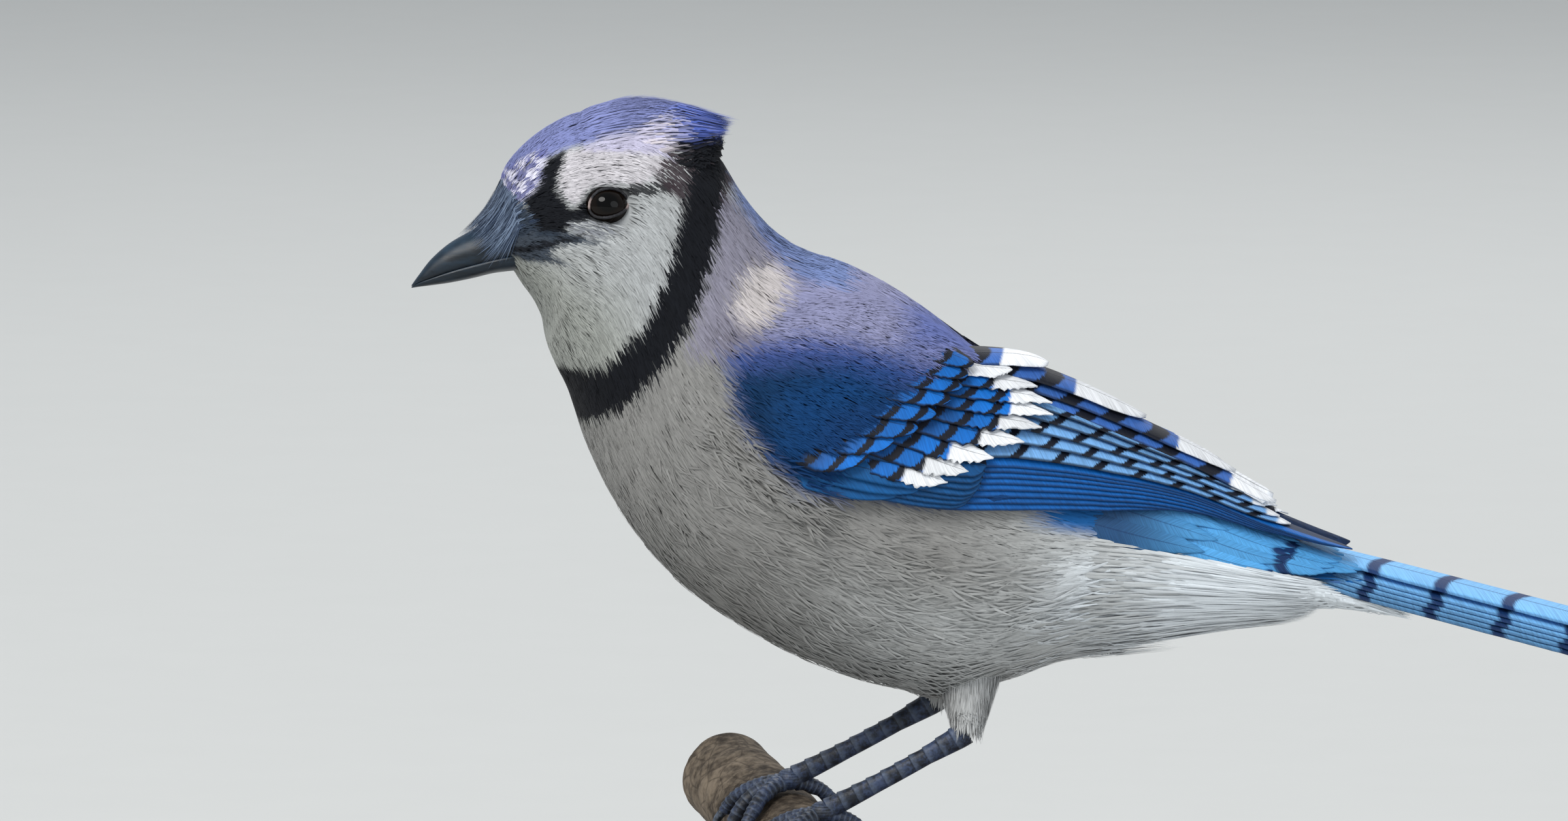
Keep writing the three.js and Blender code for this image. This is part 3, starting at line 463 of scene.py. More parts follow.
def body_ways(place, round_):
    """Unit ways along the body, round it and outward, and the millimetres in each step of place and turn."""
    place = np.clip(place, 0.06, LAST - 0.06)
    along = (on_body(place + 0.05, round_) - on_body(place - 0.05, round_)) / 0.1
    around = on_body(place, round_ + 0.5) - on_body(place, round_ - 0.5)
    outward = unit(np.cross(along, around))
    out = on_body(place, round_, 1.0) - on_body(place, round_)
    outward *= np.sign(np.einsum("...i,...i->...", outward, out))[..., None]
    long = np.linalg.norm(along, axis=-1)
    wide = np.linalg.norm(around, axis=-1)
    return along / long[..., None], around / wide[..., None], outward, long, wide


EYE = {"place": 5.0, "round": 72.5, "radius": 4.5, "sunk": 2.6}
ARM_PLACES = (10.2, 11.0, 11.8, 12.6, 13.4, 14.2, 15.2, 16.4, 17.6)
ARM_UPPER = (70, 62, 48, 34, 29, 26, 20, 15, 12)
ARM_LOWER = (78, 84, 92, 97, 96, 91, 84, 76, 68)
ARM_THICK = (0.0, 1.6, 3.4, 4.6, 4.9, 4.6, 3.8, 2.6, 0.0)
SKIN_DEPTH_PLACES = (0, 3, 8, 12, 22)
SKIN_DEPTHS = (0.45, 0.6, 0.8, 1.0, 1.0)


def eye_distance(place, round_):
    """Distance over the plumage from the nearer eye, in millimetres."""
    eye = on_body(EYE["place"], -EYE["round"])
    return np.linalg.norm(on_body(place, -np.abs(round_)) - eye, axis=-1)


def swell(place, round_):
    """How far the form stands out from the plain sections, as at the wing's arm, brow and eye."""
    a = np.abs(round_)
    upper = np.interp(place, ARM_PLACES, ARM_UPPER)
    lower = np.interp(place, ARM_PLACES, ARM_LOWER)
    arm = np.interp(place, ARM_PLACES, ARM_THICK, 0, 0)
    arm = arm * smooth(a, upper - 16, upper + 10) * (1 - smooth(a, lower - 9, lower))
    far = eye_distance(place, round_)
    socket = -1.5 * (1 - smooth(far, 2.8, 5.0))
    brow = 0.7 * np.exp(-(((place - 5.0) / 1.5) ** 2)) * np.exp(-(((a - 52) / 11) ** 2))
    cheek = 0.9 * np.exp(-(((place - 6.6) / 1.3) ** 2)) * np.exp(-(((a - 92) / 16) ** 2))
    crown_bed = -1.0 * smooth(place, 3.6, 5.0) * (1 - smooth(place, 7.0, 8.2)) * (1 - smooth(a, 35, 60))
    front = -1.7 * (1 - smooth(place, 0.0, 1.2)) * smooth(a, 15, 60)
    into_tail = -smooth(place, 19.6, 22.0) * (1.4 + 2.8 * smooth(a, 50, 120))
    return arm + socket + brow + cheek + crown_bed + front + into_tail


def skin_lift(place, round_):
    """The height of the skin, under the coat and sunk further below the folded wing."""
    under_wing = 2.0 * smooth(place, 12.8, 13.6) * (swell(place, round_) > 1.0)
    return swell(place, round_) - np.interp(place, SKIN_DEPTH_PLACES, SKIN_DEPTHS) - under_wing


# Markings, as seen from the side: outlines on the bird's side plane, forward and up, in millimetres.
# Blue comes from the feathers' structure and black from pigment; both lie in the same places on the
# skin and on the coat.
LAVENDER_BLUE = (0.205, 0.235, 0.480)
VIOLET_BLUE = (0.120, 0.125, 0.330)
PALE_LAVENDER = (0.50, 0.48, 0.63)
PINKISH_WHITE = (0.62, 0.57, 0.60)
SPOT_WHITE = (0.74, 0.73, 0.86)
WHITE = (0.54, 0.52, 0.55)
# THROAT and CHEEK are the bird's grey-white darkened with painted shade; the throat, low under the head, has
# more of it.
THROAT = (0.315, 0.328, 0.305)
CHEEK = (0.385, 0.400, 0.405)
BLACK = (0.006, 0.007, 0.010)
SLATE = (0.030, 0.042, 0.062)
SMUDGE_GREY = (0.16, 0.17, 0.20)
BROWN_BLACK = (0.040, 0.029, 0.035)
MANTLE_GREY = (0.255, 0.262, 0.420)
SLATE_BLUE = (0.100, 0.142, 0.400)
SHOULDER_BLUE = (0.005, 0.032, 0.095)
SHOULDER_EDGE = (0.055, 0.088, 0.275)
LESSER_BLUE = (0.004, 0.066, 0.250)
NAPE_BLUE = (0.168, 0.228, 0.450)
NECK_GREY = (0.240, 0.232, 0.292)
CREAM_WHITE = (0.545, 0.505, 0.50)
DUSKY = (0.170, 0.160, 0.205)
# BREAST is the bird's pale grey-brown darkened with painted shade.
BREAST = (0.232, 0.230, 0.222)
BELLY = (0.430, 0.445, 0.445)
VENT_WHITE = (0.68, 0.73, 0.77)
WING_BED = (0.006, 0.040, 0.140)
RUMP_BLUE = (0.012, 0.108, 0.330)
CREST_BLUE = (0.050, 0.085, 0.330)

CROWN = [
    (-78.7, 177.3), (-75.7, 182.7), (-72.0, 187.7), (-66.0, 190.3), (-60.0, 192.8), (-53.3, 194.1),
    (-44.0, 196.5), (-35.7, 198.7), (-33.3, 194.0), (-28.0, 196.0), (-25.3, 209.3), (-57.3, 212.0),
    (-81.3, 198.7),
]
SIDE_CROWN = [
    (-61.6, 187.7), (-57.3, 193.1), (-49.3, 195.5), (-35.7, 198.7), (-33.9, 194.1), (-41.3, 190.9),
    (-51.5, 190.7), (-58.3, 190.1),
]
BROW = [
    (-61.7, 190.9), (-60.3, 192.0), (-51.3, 191.6), (-44.0, 191.6), (-40.3, 190.6), (-42.7, 187.7),
    (-44.0, 186.0), (-47.3, 184.9), (-53.3, 185.3), (-56.7, 184.7), (-58.0, 182.7), (-60.0, 180.9),
    (-61.6, 182.0), (-62.9, 184.7), (-62.7, 187.7),
]
SIDE_PALE = [
    (-41.3, 194.0), (-39.3, 197.3), (-34.7, 198.0), (-32.0, 196.0), (-34.0, 192.7), (-38.7, 191.3),
]
FOREHEAD = [
    (-77.5, 181.7), (-76.4, 186.6), (-72.2, 189.3), (-68.4, 191.4), (-65.5, 192.2), (-65.9, 186.8),
    (-68.4, 182.3), (-72.9, 181.0),
]
BRISTLE_BED = [
    (-78.4, 181.6), (-72.5, 181.4), (-69.6, 180.3), (-67.7, 177.5), (-67.3, 175.6), (-72.9, 173.4),
    (-79.7, 171.7),
]
GAPE = [
    (-71.1, 175.4), (-68.1, 175.6), (-60.3, 175.1), (-57.3, 173.8), (-53.3, 173.1), (-63.2, 172.6),
    (-64.8, 170.8), (-60.3, 168.4), (-64.8, 169.2), (-72.1, 169.5), (-76.0, 170.5), (-76.0, 173.3),
]
LORE = [
    (-65.9, 189.7), (-61.7, 192.0), (-62.1, 189.3), (-63.3, 186.4), (-62.9, 183.7), (-61.5, 181.2),
    (-60.3, 179.7), (-58.1, 181.6), (-55.9, 182.4), (-55.9, 178.6), (-57.7, 177.6), (-60.3, 177.3),
    (-61.6, 175.0), (-64.0, 174.3), (-67.8, 174.6), (-68.3, 177.5), (-69.4, 180.1), (-69.8, 182.0),
    (-67.7, 183.7), (-66.5, 186.0),
]
UNDER_EYE = [(-57.5, 178.4, 0.5), (-54.0, 177.6, 0.45), (-50.3, 178.9, 0.4)]
SMUDGE = [(-61.5, 178.5), (-56.0, 177.5), (-50.0, 177.5), (-51.0, 175.0), (-56.0, 173.8), (-60.5, 174.8)]
EYE_LINE = [
    (-50.4, 184.3), (-46.0, 185.1), (-40.0, 186.3), (-38.4, 183.8), (-44.0, 182.9), (-48.9, 182.3),
]
STREAKED = [
    (-43.7, 188.3), (-40.3, 191.7), (-35.3, 193.8), (-30.1, 194.6), (-26.0, 189.7), (-29.0, 181.3),
    (-34.0, 178.7), (-38.0, 181.3), (-40.5, 183.3), (-42.3, 185.3),
]
UNDER_CREST = [(-34.2, 200.4), (-26.1, 200.1), (-27.4, 195.0), (-31.7, 194.6)]
NAPE = [
    (-30.0, 190.7), (-22.0, 190.7), (-14.7, 180.3), (-8.3, 175.3), (-1.7, 171.0), (-4.0, 164.0),
    (-12.0, 165.1), (-17.3, 169.1), (-22.0, 174.4), (-26.4, 181.1),
]
NECK_SIDE = [
    (-30.9, 184.7), (-26.4, 181.1), (-22.0, 174.4), (-19.3, 166.7), (-20.7, 156.0), (-26.7, 150.0),
    (-37.1, 150.0), (-34.4, 161.3), (-31.7, 172.0),
]
CREAM = [
    (-24.0, 168.0), (-18.9, 169.6), (-16.4, 165.3), (-18.0, 160.0), (-22.0, 156.0), (-26.7, 156.0),
    (-28.0, 160.0), (-26.7, 165.3),
]
DUSKY_EDGE = [
    (-31.3, 158.3), (-24.0, 156.0), (-19.7, 153.1), (-22.7, 149.6), (-29.6, 149.3), (-33.3, 152.7),
]
LOWER_BACK = [(6.3, 159.3), (14.7, 162.7), (30.7, 150.0), (28.0, 144.0), (16.0, 144.6), (5.3, 147.7)]
SHOULDER = [
    (-29.1, 150.0), (-24.0, 151.8), (-14.7, 152.3), (-5.3, 150.3), (5.2, 146.2), (13.3, 144.0),
    (9.3, 137.3), (0.0, 129.3), (-6.0, 121.5), (-13.0, 124.5), (-19.5, 129.5), (-26.0, 137.3),
]
LESSER_COVERTS = [
    (-18.2, 141.7), (-8.0, 146.5), (4.9, 147.3), (6.4, 143.3), (-5.9, 133.6), (-9.0, 125.9),
    (-14.1, 123.0), (-19.1, 130.0),
]
MOUTH_LINE = [(-76.9, 170.8, 0.6), (-68.0, 172.0, 0.6), (-62.7, 173.5, 0.5), (-57.7, 174.7, 0.3)]
NECKLACE = [
    (-31.1, 194.0, 1.9), (-32.4, 187.7, 3.2), (-33.9, 181.3, 4.0), (-34.7, 176.0, 4.1),
    (-36.3, 169.3, 4.0), (-38.1, 162.7, 4.1), (-41.3, 156.0, 4.1), (-46.0, 149.4, 4.3),
    (-51.3, 144.2, 4.6), (-56.6, 142.0, 5.0), (-62.5, 142.4, 5.7),
]


WING_LOW = (
    (12.2, 96), (13, 96), (14, 89), (15.6, 77.5), (16.7, 70), (17.8, 62.5), (19.3, 47), (20.4, 39),
    (22, 30),
)
WING_TOP = ((12.2, 41), (13, 31), (14, 24), (15, 16), (16, 9), (17, 7), (19, 6), (20, 8), (22, 12))
low_place, low_angle = np.array(WING_LOW, float).T
top_place, top_angle = np.array(WING_TOP, float).T


def under_wing(place, round_, margin):
    """1 under the folded wing, further in than a margin in degrees from its edges."""
    a = np.abs(round_)
    low = np.interp(place, low_place, low_angle) - margin
    top = np.interp(place, top_place, top_angle) + margin
    return smooth(place, 12.5, 13.1) * smooth(low - a, -1.5, 1.5) * smooth(a - top, -1.5, 1.5)


def side_plane(place, round_):
    """Where a point of either side lies when the left side is seen from the camera's height."""
    point = on_body(place, -np.abs(round_))
    return point[..., 0], point[..., 2] + point[..., 1] * VIEW_RISE


def to_edge(u, v, start, end):
    """Distance from points to a straight edge, and how far along it the nearest place is."""
    du, dv = end[0] - start[0], end[1] - start[1]
    share = np.clip(((u - start[0]) * du + (v - start[1]) * dv) / (du * du + dv * dv), 0, 1)
    return np.hypot(u - start[0] - share * du, v - start[1] - share * dv), share


def patch(u, v, outline, soft=0.8):
    """1 inside an outline, 0 outside, changing over a soft edge."""
    nearest = np.full(u.shape, 1e9)
    inside = np.zeros(u.shape, bool)
    for start, end in zip(outline, outline[1:] + outline[:1]):
        nearest = np.minimum(nearest, to_edge(u, v, start, end)[0])
        crosses = (start[1] > v) != (end[1] > v)
        level = (v - start[1]) / np.where(end[1] == start[1], 1e9, end[1] - start[1])
        inside ^= crosses & (u < start[0] + level * (end[0] - start[0]))
    return smooth(np.where(inside, nearest, -nearest), -soft, soft)


def band(u, v, line, soft=0.6):
    """1 within half a width of a line, given as places and half widths, changing over a soft edge."""
    best = np.full(u.shape, -1e9)
    for start, end in zip(line, line[1:]):
        far, share = to_edge(u, v, start, end)
        best = np.maximum(best, start[2] + share * (end[2] - start[2]) - far)
    return smooth(best, -soft, soft)


def toward(first, second, share):
    """From first to second, colours or places, by a share for each point."""
    return np.array(first) + (np.array(second) - np.array(first)) * share


def markings(place, round_, rng=None, seen=None):
    """The colour of the plumage at a place. With rng, edges are ragged as feathers make them."""
    place = np.asarray(place, float)
    a = np.abs(round_)
    u, v = side_plane(place, a) if seen is None else seen
    chance = np.full(u.shape, 0.5)
    if rng is not None:
        u = u + rng.normal(0, 0.35, u.shape) * np.interp(place, (0, 3, 8, 12), (0.3, 0.6, 1.2, 2.2))
        v = v + rng.normal(0, 0.35, u.shape) * np.interp(place, (0, 3, 8, 12), (0.3, 0.5, 0.8, 1.5))
        chance = rng.random(u.shape)
    paint = np.empty((*u.shape, 3))
    paint[:] = THROAT

    def lay(colour, share):
        paint[:] = toward(paint, colour, share[..., None])

    # Painted shade: the lower throat keeps the darker THROAT colour, the cheek above it is lighter.
    lay(CHEEK, 1 - smooth(a, 88, 128))
    breast_start = np.interp(a, (80, 120, 150, 180), (8.6, 8.1, 7.4, 6.9))
    lay(BREAST, smooth(place - breast_start, 0.0, 0.8))
    lay(BELLY, smooth(place, 12.5, 16.5) * smooth(a, 95, 125))
    lay(BELLY, smooth(place, 15.0, 18.0))
    lay(VENT_WHITE, smooth(place, 16.6, 18.4) * smooth(a, 78, 96))
    lay(MANTLE_GREY, smooth(place, 9.0, 10.2) * (1 - smooth(a, 62, 74)))
    lay(NECK_GREY, patch(u, v, NECK_SIDE, 1.6))
    lay(NAPE_BLUE, patch(u, v, NAPE, 1.5))
    lay(CREAM_WHITE, patch(u, v, CREAM, 2.2))
    lay(DUSKY, 0.7 * patch(u, v, DUSKY_EDGE, 1.8) * (chance > 0.35))
    lay(SLATE_BLUE, 0.8 * patch(u, v, LOWER_BACK, 5.0))
    lay(SHOULDER_EDGE, patch(u, v, SHOULDER, 3.2))
    lay(SHOULDER_BLUE, patch(u, v, SHOULDER, 2.6) * patch(u, v + 4.5, SHOULDER, 4.0))
    lay(LESSER_BLUE, 0.36 * patch(u, v, LESSER_COVERTS, 4.5))
    bed_top = np.interp(place, (12.5, 13.5, 14.5, 15.2, 16.0, 17.0), (80, 64, 48, 32, 14, 6))
    lay(WING_BED, under_wing(place, a, 0.0) * smooth(a - bed_top, -3, 3))
    lay(RUMP_BLUE, smooth(place, 16.3, 17.1) * (1 - smooth(a, 73, 82)))
    lay(LAVENDER_BLUE, patch(u, v, CROWN, 1.0) * (1 - smooth(place, 8.0, 8.8)))
    lay(VIOLET_BLUE, 0.8 * patch(u, v, FOREHEAD, 1.0))
    spots = np.sin(u * 1.5 + 0.7) * np.sin(v * 1.4 + 0.4) + 0.3 * np.sin(u * 3.1 + v * 2.7)
    lay(
        SPOT_WHITE,
        0.9 * patch(u, v, FOREHEAD, 0.5) * smooth(spots, -0.15, 0.3) * smooth(v, 182.0, 183.5),
    )
    lay(PALE_LAVENDER, patch(u, v, SIDE_CROWN, 1.4))
    lay(PINKISH_WHITE, 0.85 * patch(u, v, SIDE_PALE, 1.4) * (chance > 0.2))
    lay(WHITE, 0.95 * patch(u, v, BROW, 0.7))
    lay(SMUDGE_GREY, 0.75 * patch(u, v, SMUDGE, 1.0) * (chance > 0.25))
    lay(BLACK, patch(u, v, LORE, 0.6))
    lay(SLATE, patch(u, v, BRISTLE_BED, 0.5))
    lay(SLATE, 0.95 * patch(u, v, GAPE, 0.5))
    lay(BLACK, 0.9 * band(u, v, UNDER_EYE, 0.3))
    lay(BLACK, 0.92 * patch(u, v, EYE_LINE, 0.6) * (chance > 0.12))
    lay(BROWN_BLACK, 0.95 * patch(u, v, STREAKED, 1.0) * (chance > 0.2))
    lay(CREST_BLUE, 0.8 * patch(u, v, UNDER_CREST, 0.8))
    lay(BLACK, band(u, v, NECKLACE, 0.7))
    lay(BLACK, 0.9 * band(u, v, MOUTH_LINE, 0.3))
    return paint


def paint_points(piece, name, colours):
    """A colour for each point of a piece."""
    rgba = np.ones((len(colours), 4), np.float32)
    rgba[:, :3] = np.clip(colours, 0, 1)
    piece.data.color_attributes.new(name, "FLOAT_COLOR", "POINT").data.foreach_set("color", rgba.ravel())


def bake_map(piece, uv):
    """The map that a bake uses, from a place for each point."""
    order = np.empty(len(piece.data.loops), np.int32)
    piece.data.loops.foreach_get("vertex_index", order)
    layer = piece.data.uv_layers.new(name="OFBake")
    layer.data.foreach_set("uv", np.asarray(uv, np.float32)[order].ravel())


def unwrap(place, round_):
    """The skin's own unwrap: along the body and round it."""
    shares = np.stack([np.asarray(place, float) / LAST, (np.asarray(round_, float) + 180) / 360], -1)
    return 0.01 + 0.98 * shares


plumage, tree, shader = new_material("plumage", 0.8, 0.12, Sheen_Weight=0.05, Sheen_Roughness=0.5)
pigment = wire(tree, "Attribute", attribute_name="pigment").outputs["Color"]
shade, height = specks(tree, 1600.0, 140.0, 0.2)
# Painted shade: each barb is darker toward its root, by its reach, with a little painted light at its tip, as
# the shade deep in the coat.
painted_root_shade = fade(tree, read(tree, "reach"), 0.0, 0.8, 0.88, 1.04)
shade = reckon(tree, "MULTIPLY", reckon(tree, "MULTIPLY", shade, read(tree, "tint")), painted_root_shade)
colour_in(tree, shader, pigment, shade)
bump(tree, shader, height, 0.2, 0.0002)


def plumed(piece, colour, reach, tint, uv):
    """Gives a piece what the plumage reads: pigment, reach along a barb, tint and place on the unwrap."""
    paint_points(piece, "pigment", colour)
    number_points(piece, "reach", reach)
    number_points(piece, "tint", tint)
    bake_map(piece, uv)
    piece.data.materials.append(plumage)
    return piece


# Painted shade on the skin under the coat: its markings are dulled, and its reach makes the plumage darken it
# like a barb's root.
SKIN_PAINTED_SHADE = 0.92
SKIN_REACH = 0.35


def body_skin(rings=330, columns=200):
    place = np.linspace(0, LAST, rings)[:, None] + np.zeros(columns)
    round_ = np.linspace(-180, 180, columns, endpoint=False)[None] + np.zeros((rings, 1))
    points = on_body(place, round_, skin_lift(place, round_)).reshape(-1, 3)
    piece = mesh_piece("skin", points, *ring_faces(rings, columns))
    place, round_ = place.ravel(), round_.ravel()
    return plumed(piece, markings(place, round_) * SKIN_PAINTED_SHADE, SKIN_REACH, 1.0, unwrap(place, round_))


set_on(body_skin(), "body_plumage", "head", "neck", "torso")


# Coat. Small body feathers, each a tuft of fine overlapping barbs rooted in the skin and lying
# along the body, finest on the face and longest on the flanks and under the tail.
LENGTH_PLACES = (0, 1.5, 4, 7, 9, 11, 15, 19, 22)
LENGTHS = (1.8, 2.8, 4.6, 6.4, 7.6, 8.6, 10.5, 12.0, 12.0)
WIDTH_PLACES = (0, 3, 8, 14)
WIDTHS = (0.23, 0.29, 0.40, 0.54)
BLADE_STEPS = np.array((0.0, 0.5, 1.0))
BLADE_SHARES = np.array((0.75, 1.0))
BLADE_QUADS = np.array([(0, 1, 4, 3), (1, 2, 5, 4), (2, 0, 3, 5)])
BLADE_TRIANGLES = np.array([(3, 4, 6), (4, 5, 6), (5, 3, 6), (0, 2, 1)])
BLADE_RIDGE = 0.3
BLADE_ROUND = 0.32
BLADE_TIP = 6
PATCH = 0.003


def blades(name, centres, out, width, root_uv, colour, tint):
    """Fine tapered blades, each along three points, three-sided, in one mesh."""
    count = len(centres)
    across = unit(np.cross(out, centres[:, -1] - centres[:, 0]))
    half = width[:, None, None] / 2 * BLADE_SHARES[None, :, None]
    points = np.empty((count, BLADE_TIP + 1, 3))
    points[:, 0:6:3] = centres[:, :2] - across[:, None] * half
    points[:, 1:6:3] = centres[:, :2] + across[:, None] * half
    points[:, 2:6:3] = centres[:, :2] + out[:, None] * half * BLADE_RIDGE
    points[:, BLADE_TIP] = centres[:, 2]
    base = np.arange(count)[:, None, None] * (BLADE_TIP + 1)
    quads = (base + BLADE_QUADS).reshape(-1, 4)
    triangles = (base + BLADE_TRIANGLES).reshape(-1, 3)
    piece = mesh_piece(name, points, quads, triangles)
    turned = BLADE_ROUND * across[:, None] * np.array((-1, 1, 0, -1, 1, 0, 0))[None, :, None]
    facing = unit(out[:, None] + turned)
    piece.data.normals_split_custom_set_from_vertices(facing.reshape(-1, 3))
    steps = np.append(np.repeat(BLADE_STEPS[:2], 3), 1.0)
    local = np.stack([steps - 0.5, np.append(np.tile((-0.5, 0.5, 0.0), 2), 0.0)], -1) * PATCH
    uv = (root_uv[:, None] + local[None]).reshape(-1, 2)
    own = BLADE_TIP + 1
    return plumed(piece, np.repeat(colour, own, axis=0), np.tile(steps, count), np.repeat(tint, own), uv)


def area_scale(place, round_):
    """Square millimetres of the body for one step of place and one degree."""
    place, round_ = np.broadcast_arrays(np.asarray(place, float), np.asarray(round_, float))
    _, _, _, long, wide = body_ways(place, round_)
    return long * wide


def scatter(rng, spacing, places, rounds, keep):
    """Roots spread evenly over a stretch of the body, one for each square of the spacing."""
    most = area_scale(np.linspace(*places, 60)[:, None], np.linspace(*rounds, 90)[None]).max()
    count = int((places[1] - places[0]) * (rounds[1] - rounds[0]) * most / spacing**2)
    order = np.arange(count)
    place = places[0] + (places[1] - places[0]) * ((0.5 + order * 0.7548776662) % 1)
    round_ = rounds[0] + (rounds[1] - rounds[0]) * ((0.5 + order * 0.5698402910) % 1)
    held = rng.random(count) < area_scale(place, round_) / most * keep(place, round_)
    return place[held], round_[held]


def lean(place, round_):
    """How far the lie of the coat turns down from the line of the body, in degrees."""
    a = np.abs(round_)
    cheek = 8 * np.exp(-(((place - 5) / 3) ** 2) - ((a - 95) / 30) ** 2)
    flank = -9 * smooth(place, 10.5, 12.5) * (1 - smooth(place, 17, 19.5)) * np.exp(-(((a - 110) / 14) ** 2))
    return cheek + flank


EYE_CLEAR = 3.9


def grow(
    name, seed, spacing, places, rounds, keep, barbs=5, fan=11, length=1.0, width=1.0, stand=(0.0, 0.0),
    wander=4.0,
):
    """A stretch of coat, its blades laid on the swelling of the form and kept off the eyes."""
    rng = np.random.default_rng(seed)
    place, round_ = scatter(rng, spacing, places, rounds, keep)
    side = np.sign(round_) + (round_ == 0)
    _, _, out, long, wide = body_ways(place, round_)
    heading = side * lean(place, round_) + rng.normal(0, wander, len(place))
    spread = np.linspace(-1, 1, barbs)[None] + rng.normal(0, 0.2, (len(place), barbs))
    angle = np.radians(heading[:, None] + fan * spread)
    run = length * np.interp(place, LENGTH_PLACES, LENGTHS)[:, None]
    run = run * rng.uniform(0.8, 1.2, (len(place), 1))
    run = run * (1 - 0.22 * spread**2) * rng.uniform(0.85, 1.1, angle.shape)
    start = place[:, None] + rng.uniform(-0.5, 0.5, angle.shape) * spacing / long[:, None]
    begin = round_[:, None] + rng.uniform(-0.5, 0.5, angle.shape) * spacing / wide[:, None]
    ends = start + run * np.cos(angle) / long[:, None], begin + run * np.sin(angle) / wide[:, None]
    run = np.where(eye_distance(*ends) < EYE_CLEAR, 0.45 * run, run)
    step_place = run * np.cos(angle) / long[:, None]
    step_round = run * np.sin(angle) / wide[:, None]
    sink = -np.interp(place, SKIN_DEPTH_PLACES, SKIN_DEPTHS)[:, None] - 0.25
    off_ridge = smooth(np.abs(round_) - 12 * (round_ > 0), 20, 44)
    on_ridge = np.where(round_ > 0, -0.35, 0.2)
    raised = stand[0] + (stand[1] - stand[0]) * smooth(place, *places)
    raised = raised * (on_ridge + (1 - on_ridge) * off_ridge)
    rise = 0.1 + raised[:, None]
    spread = np.interp(place, (0, 6, 14), (0.5, 0.7, 0.9))[:, None]
    rise = rise + rng.uniform(-0.15, 0.25, angle.shape) * spread
    centres = np.empty((*angle.shape, 3, 3))
    for k, (step, level) in enumerate(zip(BLADE_STEPS, (sink + 0 * rise, 0.75 * rise, rise))):
        at_place = np.clip(start + step_place * step, 0, LAST)
        at_round = begin + step_round * step
        centres[:, :, k] = on_body(at_place, at_round, swell(at_place, at_round) + level)
    seen_place = np.clip(start + 0.62 * step_place, 0, LAST)
    seen_round = begin + 0.62 * step_round
    colour = markings(seen_place.ravel(), seen_round.ravel(), rng)
    drift = waves(rng, 30, place * 5, np.radians(round_), 30)
    varied = np.interp(place, (2, 4, 8, 10), (0.07, 0.10, 0.10, 0.075))[:, None]
    tints = rng.normal(1.0, varied, angle.shape)
    tints = tints * (1 + 0.035 * drift + rng.normal(0, 0.035, len(place)))[:, None]
    clear = (eye_distance(start + step_place, begin + step_round) > EYE_CLEAR).ravel()
    widths = width * np.repeat(np.interp(place, WIDTH_PLACES, WIDTHS), barbs)
    widths = widths * rng.uniform(0.8, 1.25, clear.shape)
    uv = np.repeat(unwrap(place, round_), barbs, axis=0)
    out = np.repeat(out, barbs, axis=0)
    flat = centres.reshape(-1, 3, 3)
    return blades(
        name, flat[clear], out[clear], widths[clear], uv[clear], colour[clear], tints.ravel()[clear],
    )


def clear_of_eye(place, round_):
    return (eye_distance(place, round_) > EYE_CLEAR + 0.1).astype(float)


def beyond_wing(place, round_):
    """Outside the folded wing, with a margin under its edges, and short of the tail's coverts."""
    tail_base = (place > 20.3) & (np.abs(round_) < 84)
    return 1.0 - ((under_wing(place, round_, 4.0) > 0.5) | tail_base)


def low_on_belly(place, round_):
    return (np.abs(round_) > 98).astype(float)


ALL_ROUND = (-180, 180)
for name, seed, spacing, places in (
    ("coat_face", 1, 0.74, (0.05, 3.4)),
    ("coat_head", 2, 0.92, (3.2, 6.3)),
    ("coat_collar", 3, 1.0, (6.1, 9.1)),
):
    set_on(grow(name, seed, spacing, places, ALL_ROUND, clear_of_eye, fan=9), "head_plumage", "head")
for name, seed, spacing, places in (
    ("coat_neck", 4, 1.37, (8.9, 12.3)),
    ("coat_breast", 5, 1.4, (12.1, 15.3)),
    ("coat_belly", 6, 1.6, (15.1, 21.6)),
):
    piece = grow(name, seed, spacing, places, ALL_ROUND, beyond_wing, barbs=6)
    set_on(piece, "body_plumage", "neck", "torso")
wisps = grow(
    "coat_wisps", 7, 4.2, (10.0, 17.8), ALL_ROUND, low_on_belly,
    fan=20, length=1.15, stand=(0.3, 0.9), wander=10,
)
set_on(wisps, "body_plumage", "torso")


def belly_tuft(count=3600):
    """The loose feathers that hang behind the thighs, where the belly rises to the vent."""
    rng = np.random.default_rng(8)
    place = rng.uniform(14.6, 18.2, count)
    round_ = rng.choice((-1, 1), count) * (180 - 58 * rng.random(count) ** 0.8)
    ahead = rng.uniform(0.9, 1.5, count)
    layer = rng.random(count)
    low = smooth(np.abs(round_), 120, 160)

    def at(step, lift):
        end = place + ahead * step
        droop = 4.8 * smooth(end, 17.4, 19.3) + 2.6 * smooth(end, 15.2, 16.2) * (1 - smooth(end, 16.2, 17.0))
        return on_body(end, round_, lift + droop * layer * low)

    centres = np.stack([on_body(place, round_, -1.2), at(0.5, 0.5), at(1.0, 0.3 + 0 * layer)], 1)
    _, _, out, _, _ = body_ways(place, round_)
    colour = markings(place, round_, rng)
    widths = rng.uniform(0.35, 0.7, count)
    return blades(
        "belly_tuft", centres, out, widths, unwrap(place, round_), colour, rng.normal(1.02, 0.07, count),
    )


set_on(belly_tuft(), "body_plumage", "torso")


# Tail. Twelve quills in layers, closed like a shallow roof, the middle pair on top and the outer
# ones shorter. Pale blue webs with dark bars; white tips on the outer ones.
TAIL = {
    "root_x": 82.0, "root_z": 113.4, "slope": math.radians(14.5), "length": 102.0, "shorter": 20.0,
    "pairs": 6, "layer": 0.58, "lapped": 0.45, "lap": 2.0, "edge": 8.3, "edge_step": 1.04, "width": 11.5,
    "root_spread": 0.75, "roof": math.radians(10), "roll": math.radians(8),
}
VANE_THICK = 0.22
QUILL_MARKS = ("from_tip", "side", "feather", "run", "white")


